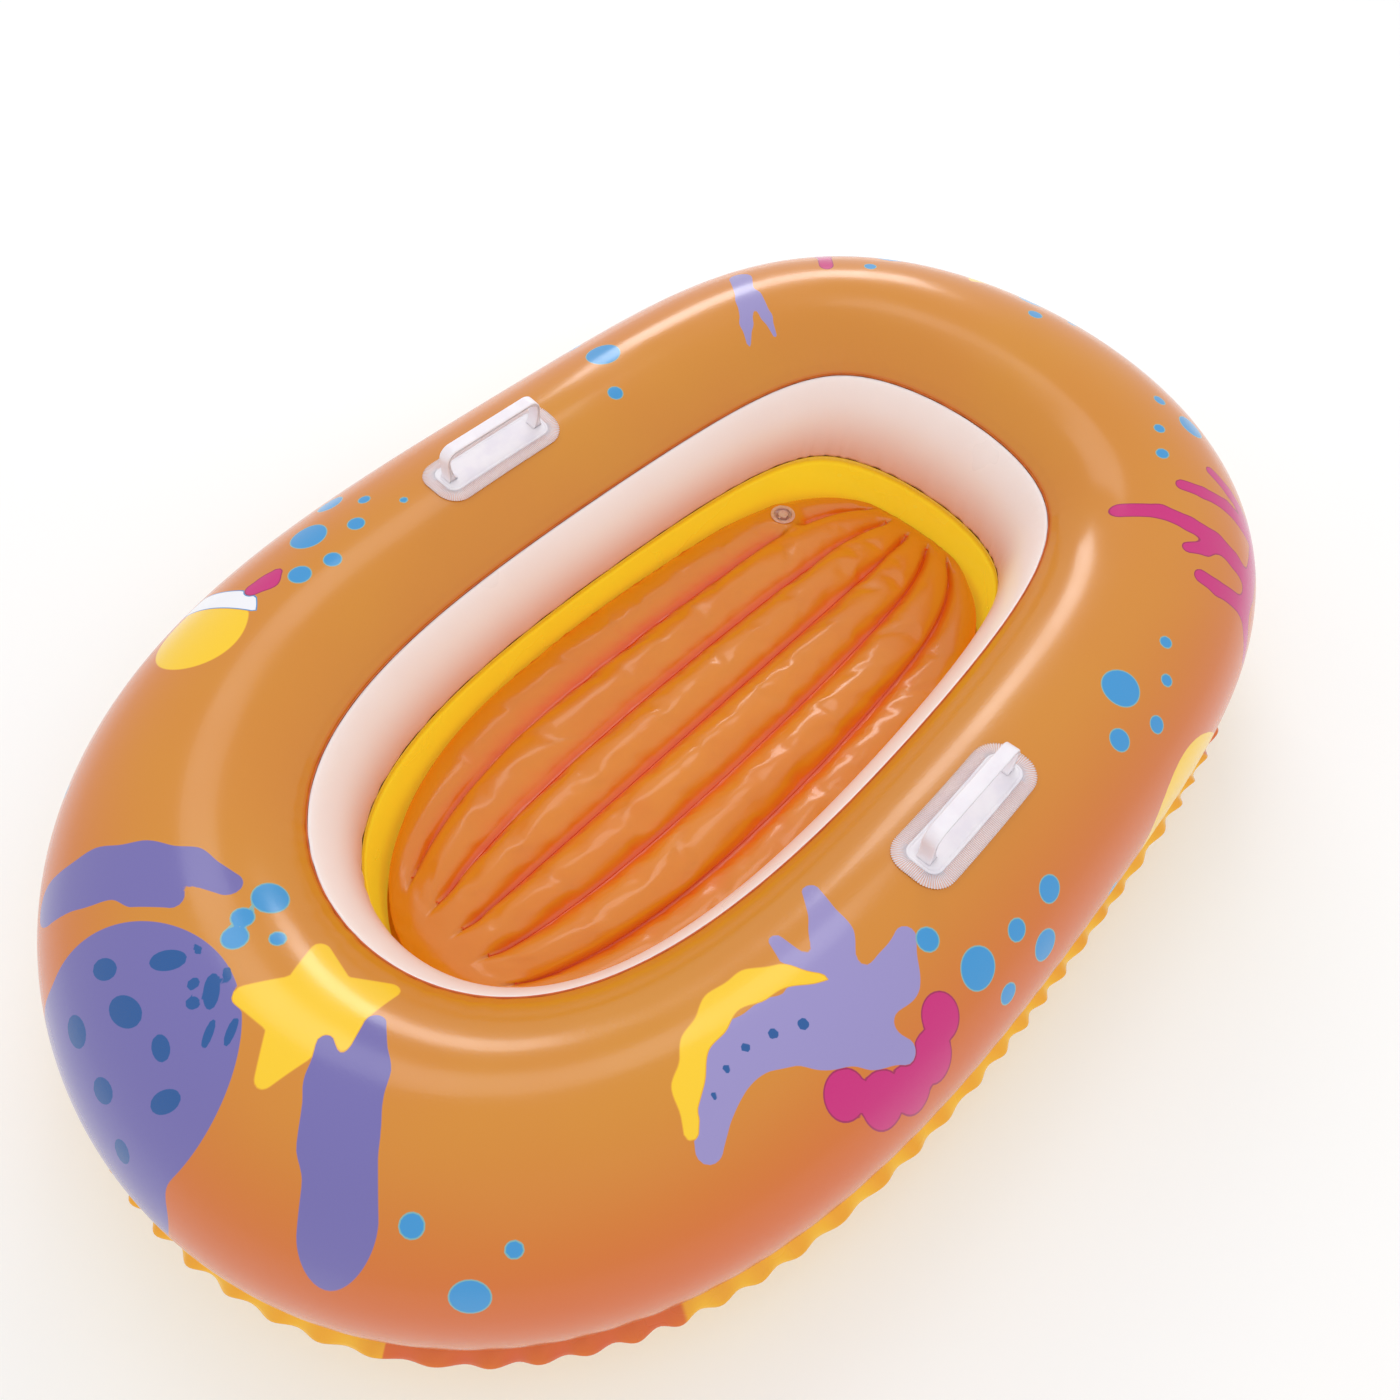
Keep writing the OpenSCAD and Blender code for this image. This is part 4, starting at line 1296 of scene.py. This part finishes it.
class BOAT_OT_mattress_welds(BoatOperator, Operator):
    """Builds the weld lines of the mattress, each ending in small rings"""

    bl_idname = "boat.mattress_welds"
    bl_label = "Mattress Welds"

    def execute(self, context):
        _, pad, sizes, c = self.start(context, "boat_mattress")
        material, tree = mattress_weld_vinyl(c), bead_tree()
        end_t, ring_r = math.acos(0.905), 0.0034
        t = np.linspace(end_t, math.pi - end_t, 140)
        turn = np.arange(24) * TURN / 24
        parts = []

        def weld(name, points, width, closed):
            wire = line_piece(name, points, closed, lift=np.tile(UP, (len(points), 1)))
            tree.run_on(wire, Width=width, Height=0.0008, Sides=8, Material=material)
            parts.append(taken_up(wire))

        for k in range(1, pad.chambers):
            f = 2 * k / pad.chambers - 1
            points = np.stack([pad.x(t), pad.y(t) * f, pad.top(t, np.full(len(t), f)) + 0.0003], -1)
            weld("weld_line", points, sizes.weld_w, False)
            for end, before in ((0, 1), (-1, -2)):
                outwards = points[end] - points[before]
                x, y, z = points[end] + outwards / np.linalg.norm(outwards) * 0.0028
                weld("weld_ring", np.stack([x + ring_r * np.cos(turn), y + ring_r * np.sin(turn),
                                            np.full(24, z + 0.0006)], -1), 0.0018, True)
        hand_over(make_piece("mattress_welds", *joined(parts), material), "mattress_vinyl")
        return {"FINISHED"}


# Handles ------------------------------------------------------------------------------


class HandleShape:
    """Flange and grip of the port handle; the starboard one is its mirror image."""

    def __init__(self, hull, s):
        self.hull, self.s = hull, s
        low, high = math.radians(40), math.radians(130)
        for _ in range(40):
            mid = (low + high) / 2
            low, high = (mid, high) if hull.line(mid)[0] > s.along else (low, mid)
        self.station = (low + high) / 2

    def outline(self, inset, n=176):
        """Rounded oblong, drawn in by inset, as evenly numbered points."""
        r = max(self.s.corner_r - inset, 0.0015)
        cx, cy = self.s.patch_l / 2 - inset - r, self.s.patch_w / 2 - inset - r
        signs = ((1, 1), (-1, 1), (-1, -1), (1, -1))
        q, out = n // 4, []
        arc = q // 2

        def corner(k, v):
            return np.array((signs[k % 4][0] * cx + r * math.cos(v), signs[k % 4][1] * cy + r * math.sin(v)))

        for k in range(4):
            out += [corner(k, math.pi / 2 * k + a) for a in np.arange(arc) / (arc - 1) * math.pi / 2]
            p0, p1 = out[-1], corner(k + 1, math.pi / 2 * (k + 1))
            out += [p0 + (p1 - p0) * (i + 1) / (q - arc + 1) for i in range(q - arc)]
        return np.array(out)

    def lay(self, flat, high):
        """Lays flat points of the flange on the tube, high over the sheet."""
        t = self.station - flat[:, 0] / self.hull.speed(self.station)
        phi = self.s.round_angle - flat[:, 1] / self.hull.radius(self.station)
        return self.hull.at(t, phi, high)


def edge_normals(outline, spare=0.0):
    """Unit directions into a closed outline that runs anticlockwise."""
    ahead = np.roll(outline, -1, 0) - np.roll(outline, 1, 0)
    into = np.stack([-ahead[:, 1], ahead[:, 0]], -1)
    return into / (np.linalg.norm(into, axis=1)[:, None] + spare)


def both_sides(name, points, faces, material, slot, node=None):
    """Makes the port piece and its mirror image, hands both over and returns them."""
    port = make_piece(name + "_port", points, faces, material)
    starboard = make_piece(name + "_starboard", points * [1, -1, 1], [f[::-1] for f in faces], material)
    hand_over(port, slot, *([node + "_left"] if node else []))
    hand_over(starboard, slot, *([node + "_right"] if node else []))
    return port, starboard


class BOAT_OT_handle_flanges(BoatOperator, Operator):
    """Builds the ribbed weld flanges of the two handles"""

    bl_idname = "boat.handle_flanges"
    bl_label = "Handle Flanges"

    def execute(self, context):
        hull, _, s, c = self.start(context, "boat_handles")
        gap = context.scene.boat_hull.weld_gap
        shape = HandleShape(hull, s)
        material, border = moulded_vinyl(c), moulded_vinyl(c, "moulded_flange_vinyl", thin_border=True)
        top, plate = gap + s.patch_t, gap + s.patch_t + s.plate_rise
        b, low = s.border, top - 0.00035
        spine = s.patch_w / 2 - 0.002
        profile = [(spine, gap), (spine * 0.6, gap), (0.0010, gap), (0.0002, gap + 0.0002), (0, gap + 0.0005),
                   (0.0002, low - 0.0001), (0.0006, low), (b * 0.33, low), (b * 0.66, low), (b - 0.0008, low),
                   (b - 0.0003, low + 0.00015), (b, plate - 0.0004), (b + 0.0003, plate - 0.0001),
                   (b + 0.0007, plate), (b + 0.0018, plate), (b + 0.0021, plate - 0.0003),
                   (b + 0.0026, plate - 0.00035), (b + 0.0030, plate - 0.00015), (b + 0.0044, plate - 0.0001)]
        profile += [(b + 0.0044 + (spine - b - 0.0044) * q, plate - 0.0001) for q in (0.35, 0.7, 1)]
        rings = [shape.lay(shape.outline(i), h) for i, h in profile]
        insets = np.concatenate([np.repeat([i for i, _ in profile], len(rings[0])), [spine, spine]]) * 1000
        for piece in both_sides("handle_flange", *ring_parts(rings), border, "handle_vinyl", "handle_patch"):
            put_value(piece.data, "inset", insets)
        # Ribs across the border, from just outside its edge to the plate
        middle = shape.outline(b / 2 - 0.0002, 352)
        level = shape.lay(middle, 0.001)
        wire = line_piece("rib_path", shape.lay(middle, top - 0.0003), True,
                          lift=(shape.lay(middle, 0.002) - level) * 1000,
                          inward=(shape.lay(middle + edge_normals(middle) * 0.001, 0.001) - level) * 1000)
        rib_tree().run_on(wire, Step=s.rib_step, Rib_Length=b + 0.0004, Rib_Radius=s.rib_r, Material=material)
        both_sides("flange_ribs", *taken_up(wire), material, "handle_vinyl")
        return {"FINISHED"}


class BOAT_OT_grips(BoatOperator, Operator):
    """Builds the arched grip bars"""

    bl_idname = "boat.grips"
    bl_label = "Grip Bars"

    def execute(self, context):
        hull, _, s, c = self.start(context, "boat_handles")
        gap = context.scene.boat_hull.weld_gap
        shape = HandleShape(hull, s)
        foot = gap + s.patch_t + s.plate_rise + gap
        half = s.grip_span / 2 + s.root_l / 2
        knee = s.root_l + 0.002
        inner = knee - s.grip_t
        shoulder = foot + s.grip_h - knee
        swell = ((0, 0), (0, 0.0015), (0.0006, 0.0028), (0.001, 0.004))
        waist = half - 0.001 - s.grip_t
        legs = [(q, foot + 0.004 + (shoulder - foot - 0.004) * q) for q in (0.35, 0.7)]
        arc = [(math.cos(a), math.sin(a)) for a in np.linspace(0, math.pi / 2, 15)]
        outside = [(half - d, foot + z) for d, z in swell] + [(half - 0.001, z) for _, z in legs]
        outside += [(half - 0.001 - knee + knee * x, shoulder + knee * z) for x, z in arc]
        inside = [(half - s.root_l + d * 2, foot + z) for d, z in swell]
        inside += [(waist - (waist - half + s.root_l - 0.002) * (1 - q) ** 2, z) for q, z in legs]
        inside += [(half - 0.001 - knee + inner * x, shoulder + inner * z) for x, z in arc]
        outline = np.array(outside + [(-x, z) for x, z in reversed(outside)]
                           + [(-x, z) for x, z in inside] + inside[::-1])
        n = len(outline)
        # Bar of rounded section: the side's outline, drawn in a little towards both flat faces
        inwards = edge_normals(outline, 1e-12)
        r = 0.0013
        layers = [(-s.grip_w / 2 + r - r * math.cos(a), r - r * math.sin(a))
                  for a in np.linspace(0, math.pi / 2, 5)]
        layers += [(0.0, 0.0)] + [(-y, i) for y, i in reversed(layers)]
        points = []
        for y, inset in layers:
            p = outline + inwards * inset
            p[np.abs(outline[:, 1] - foot) < 1e-7, 1] = foot
            points.append(np.stack([p[:, 0], np.full(n, y), p[:, 1]], -1))
        faces = rings_to_faces(len(layers), n, ends=False)
        for base, order in ((0, 1), ((len(layers) - 1) * n, -1)):
            faces += [[base + i, base + i + 1, base + n - 2 - i, base + n - 1 - i][::order]
                      for i in range(n // 2 - 1)]
        points = laid(np.concatenate(points), hull.place(shape.station, s.round_angle))
        both_sides("grip_bar", points, faces, moulded_vinyl(c, "moulded_grip_vinyl", tint(230, 222, 232)),
                   "grip_moulding", "handle_grip")
        return {"FINISHED"}


# Valves -------------------------------------------------------------------------------


class ValveShape:
    """Profiles of one push-in valve, drawn upright with the sheet's outer face at height 0."""

    def __init__(self, r, neck_r, neck_l, ring_w, gap):
        lip = r - ring_w - 0.001
        bore, rim, top = neck_r - 0.0014, 0.0003, gap + 0.001
        hole, foot, well = neck_r + 0.0003, rim - neck_l, lip / 2
        base, plug, cap = rim + 0.0002, bore - 0.0003, neck_r + 0.0007
        leaf, axis = foot - 0.0003, 0.00001
        self.neck_r, self.rim, self.well = neck_r, rim, well
        self.flange = rounded([(r, gap), (r, top), (lip + 0.0003, top), (lip + 0.0003, gap)], 0.0004)
        self.web = rounded([(lip, top), (lip - 0.0005, top), (lip - 0.0005, -0.0014), (hole, 0.0005 - well),
                            (hole, -well), (hole + 0.0006, -well), (lip, -0.0019)], 0.0004)
        self.neck = rounded([(neck_r, rim), (bore, rim), (bore, foot), (neck_r, foot)], 0.0004)
        self.stopper = [(axis, base - 0.004), (plug - 0.0008, base - 0.004), (plug - 0.0004, base - 0.0036),
                        (plug, base - 0.0002), (plug, base), (cap - 0.0003, base), (cap, base + 0.0003),
                        (cap, base + 0.0011), (cap - 0.0004, base + 0.0015), (cap - 0.0011, base + 0.0015),
                        (cap - 0.0014, base + 0.0013), (cap * 0.5, base + 0.0012), (axis, base + 0.0012)]
        self.flap = rounded([(axis, leaf), (neck_r - 0.0004, leaf), (neck_r - 0.0004, leaf - 0.0006),
                             (axis, leaf - 0.0006)], 0.0002)


def box_parts(low, high, place, r=0.0002):
    """A small block with softened edges."""
    low, high = np.array(low, float), np.array(high, float)
    corners = [(low[0], low[1]), (high[0], low[1]), (high[0], high[1]), (low[0], high[1])]
    plan = np.array(rounded(corners, min(r * 3, (high[1] - low[1]) * 0.3), 4))
    mid, size = (low[:2] + high[:2]) / 2, (high[:2] - low[:2]) / 2
    rings = []
    for z, inset in ((low[2], r), (low[2] + r, 0), (high[2] - r, 0), (high[2], r)):
        p = mid + (plan - mid) * (1 - inset / size)
        rings.append(laid(np.concatenate([p, np.full((len(p), 1), z)], 1), place))
    return ring_parts(rings)


def build_valve(prefix, shape, place, curve, c):
    """Makes a valve's pieces; curve bends the flange's points on to its sheet."""
    material = bpy.data.materials.get("clear_vinyl") or clear_vinyl(c)
    neck, r, rim, strap = prefix + "_neck", shape.neck_r, shape.rim, 0.003

    def build(name, parts, node, body):
        piece = make_piece(f"{prefix}_valve_{name}", *parts, material)
        hand_over(piece, "valve_vinyl", f"{prefix}_valve_{node}", body=body)
        return piece

    points, faces = ring_parts(lathe(shape.flange, place, 96), closed=True)
    build("ring", (curve(points), faces), "flange", "root")
    web = build("web", ring_parts(lathe(shape.web, place, 96), closed=True), "web", None)
    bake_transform(web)
    build("tube", ring_parts(lathe(shape.neck, place), closed=True), "neck", neck)
    link = box_parts((r - 0.001, -0.0015, rim + 0.0002), (r + strap, 0.0015, rim + 0.0009), place)
    build("plug", joined([ring_parts(lathe(shape.stopper, place)), link]), "stopper", prefix + "_stopper")
    build("strap", box_parts((r + 0.0003, -0.0015, -0.0008), (r + strap - 0.0003, 0.0015, 0), place, 0.00015),
          "tether", neck)
    build("leaf", ring_parts(lathe(shape.flap, place), closed=True), "flap", prefix + "_flap")


class BOAT_OT_floor_valve(BoatOperator, Operator):
    """Builds the mattress's valve"""

    bl_idname = "boat.floor_valve"
    bl_label = "Floor Valve"

    def execute(self, context):
        _, pad, v, c = self.start(context, "boat_valves")
        gap = context.scene.boat_hull.weld_gap
        shape = ValveShape(v.floor_r, v.floor_neck_r, v.floor_neck_l, v.ring_w, gap)
        build_valve("floor", shape, floor_valve_place(context, pad), lambda points: points, c)
        return {"FINISHED"}


class BOAT_OT_hull_valve(BoatOperator, Operator):
    """Builds the tube's valve on its starboard outer side"""

    bl_idname = "boat.hull_valve"
    bl_label = "Hull Valve"

    def execute(self, context):
        hull, _, v, c = self.start(context, "boat_valves")
        gap = context.scene.boat_hull.weld_gap
        shape = ValveShape(v.hull_r, v.hull_neck_r, v.hull_neck_l, v.ring_w, gap)
        place = hull.place(v.hull_station, v.hull_angle, -0.0005)
        m = np.array(place)

        def curve(points):
            """Bends the flat ring on to the round tube."""
            local = (points - m[:3, 3]) @ m[:3, :3]
            t = v.hull_station - local[:, 0] / hull.speed(v.hull_station)
            phi = v.hull_angle - local[:, 1] / hull.radius(v.hull_station)
            return hull.at(t, phi, local[:, 2])

        build_valve("hull", shape, place, curve, c)
        return {"FINISHED"}


# Stage --------------------------------------------------------------------------------

FLOOR_HALF = 4.0
FLOOR_LEVEL = -0.0006
DAYLIGHT = 0.86
# Azimuths are counted from the bow over port, in degrees; sizes and distances are in metres
CAMERA = {"azimuth": 39.077, "elevation": 56.823, "roll": 4.683, "far": 0.9169, "lens": 25.18}
AIM = Vector((0.0267, 0.0103, 0.1))
LAMP_AIM = Vector((0, 0, 0.1))


def direction(azimuth, elevation):
    az, el = math.radians(azimuth), math.radians(elevation)
    return Vector((math.cos(az) * math.cos(el), math.sin(az) * math.cos(el), math.sin(el)))


class BOAT_OT_stage(BoatOperator, Operator):
    """Sets up the studio floor, the lights and the camera"""

    bl_idname = "boat.stage"
    bl_label = "Stage"

    def execute(self, context):
        scene = context.scene
        corners = [(x * FLOOR_HALF, y * FLOOR_HALF, FLOOR_LEVEL)
                   for x, y in ((-1, -1), (1, -1), (1, 1), (-1, 1))]
        floor = make_piece("studio_floor", corners, [(0, 1, 2, 3)], ground_finish(scene.boat_colours))
        if floor.data.polygons[0].normal.z < 0:
            floor.data.flip_normals()
        scene.world = bpy.data.worlds.new("studio")
        scene.world.use_nodes = True
        sky = scene.world.node_tree.nodes["Background"]
        sky.inputs["Color"].default_value = (1.0, 1.0, 1.0, 1)
        sky.inputs["Strength"].default_value = DAYLIGHT
        self.lamp("back_strip", direction(-137, 30) * 3.0, (1.5, 0.55), 14)
        self.lamp("top_box", direction(-120, 62) * 2.6, (1.0, 0.7), 3.5)
        self.lamp("front_fill", direction(60, 50) * 3.2, (2.4, 1.8), 12).visible_glossy = False
        camera = bpy.data.cameras.new("camera")
        camera.lens, camera.sensor_width = CAMERA["lens"], 36.0
        camera.clip_start, camera.clip_end = 0.01, 50
        back, roll = direction(CAMERA["azimuth"], CAMERA["elevation"]), math.radians(CAMERA["roll"])
        right = (-back).cross(Vector(UP)).normalized()
        up = right.cross(-back)
        right, up = (math.cos(roll) * right + math.sin(roll) * up,
                     math.cos(roll) * up - math.sin(roll) * right)
        place = AIM + back * CAMERA["far"]
        scene.camera = added("camera", camera)
        scene.camera.matrix_world = Matrix([[right[i], up[i], back[i], place[i]] for i in range(3)]
                                           + [[0, 0, 0, 1]])
        scene.view_settings.view_transform = "Standard"
        return {"FINISHED"}

    def lamp(self, name, place, size, power):
        """A rectangular soft light that faces the boat."""
        light = bpy.data.lights.new(name, "AREA")
        light.shape, light.size, light.size_y, light.energy = "RECTANGLE", size[0], size[1], power
        lamp = added(name, light)
        lamp.location = place
        lamp.rotation_euler = (LAMP_AIM - lamp.location).to_track_quat("-Z", "Y").to_euler()
        return lamp


class BOAT_PT_panel(Panel):
    """Lists the boat's pieces and settings in the 3D view's sidebar"""

    bl_idname = "BOAT_PT_panel"
    bl_label = "Inflatable Boat"
    bl_space_type = "VIEW_3D"
    bl_region_type = "UI"
    bl_category = "Boat"

    def draw(self, context):
        for piece in PIECES:
            self.layout.operator(piece.bl_idname)
        for name in GROUPS:
            group, box = getattr(context.scene, name), self.layout.box()
            for key in group.__annotations__:
                box.prop(group, key)


GROUPS = {"boat_hull": BoatHullSizes, "boat_mattress": BoatMattressSizes, "boat_handles": BoatHandleSizes,
          "boat_valves": BoatValveSizes, "boat_colours": BoatColours}
PIECES = (BOAT_OT_top_sheet, BOAT_OT_inner_wall, BOAT_OT_bottom_sheet, BOAT_OT_seam_flange, BOAT_OT_rim_weld,
          BOAT_OT_mattress, BOAT_OT_mattress_welds, BOAT_OT_handle_flanges, BOAT_OT_grips,
          BOAT_OT_floor_valve, BOAT_OT_hull_valve, BOAT_OT_stage)
CLASSES = (*GROUPS.values(), *PIECES, BOAT_PT_panel)


def register():
    for cls in CLASSES:
        bpy.utils.register_class(cls)
    for name, group in GROUPS.items():
        setattr(bpy.types.Scene, name, PointerProperty(type=group))


def unregister():
    for name in GROUPS:
        delattr(bpy.types.Scene, name)
    for cls in reversed(CLASSES):
        bpy.utils.unregister_class(cls)


def main():
    register()
    for piece in PIECES:
        getattr(bpy.ops.boat, piece.bl_idname.partition(".")[2])()


if __name__ == "__main__":
    main()
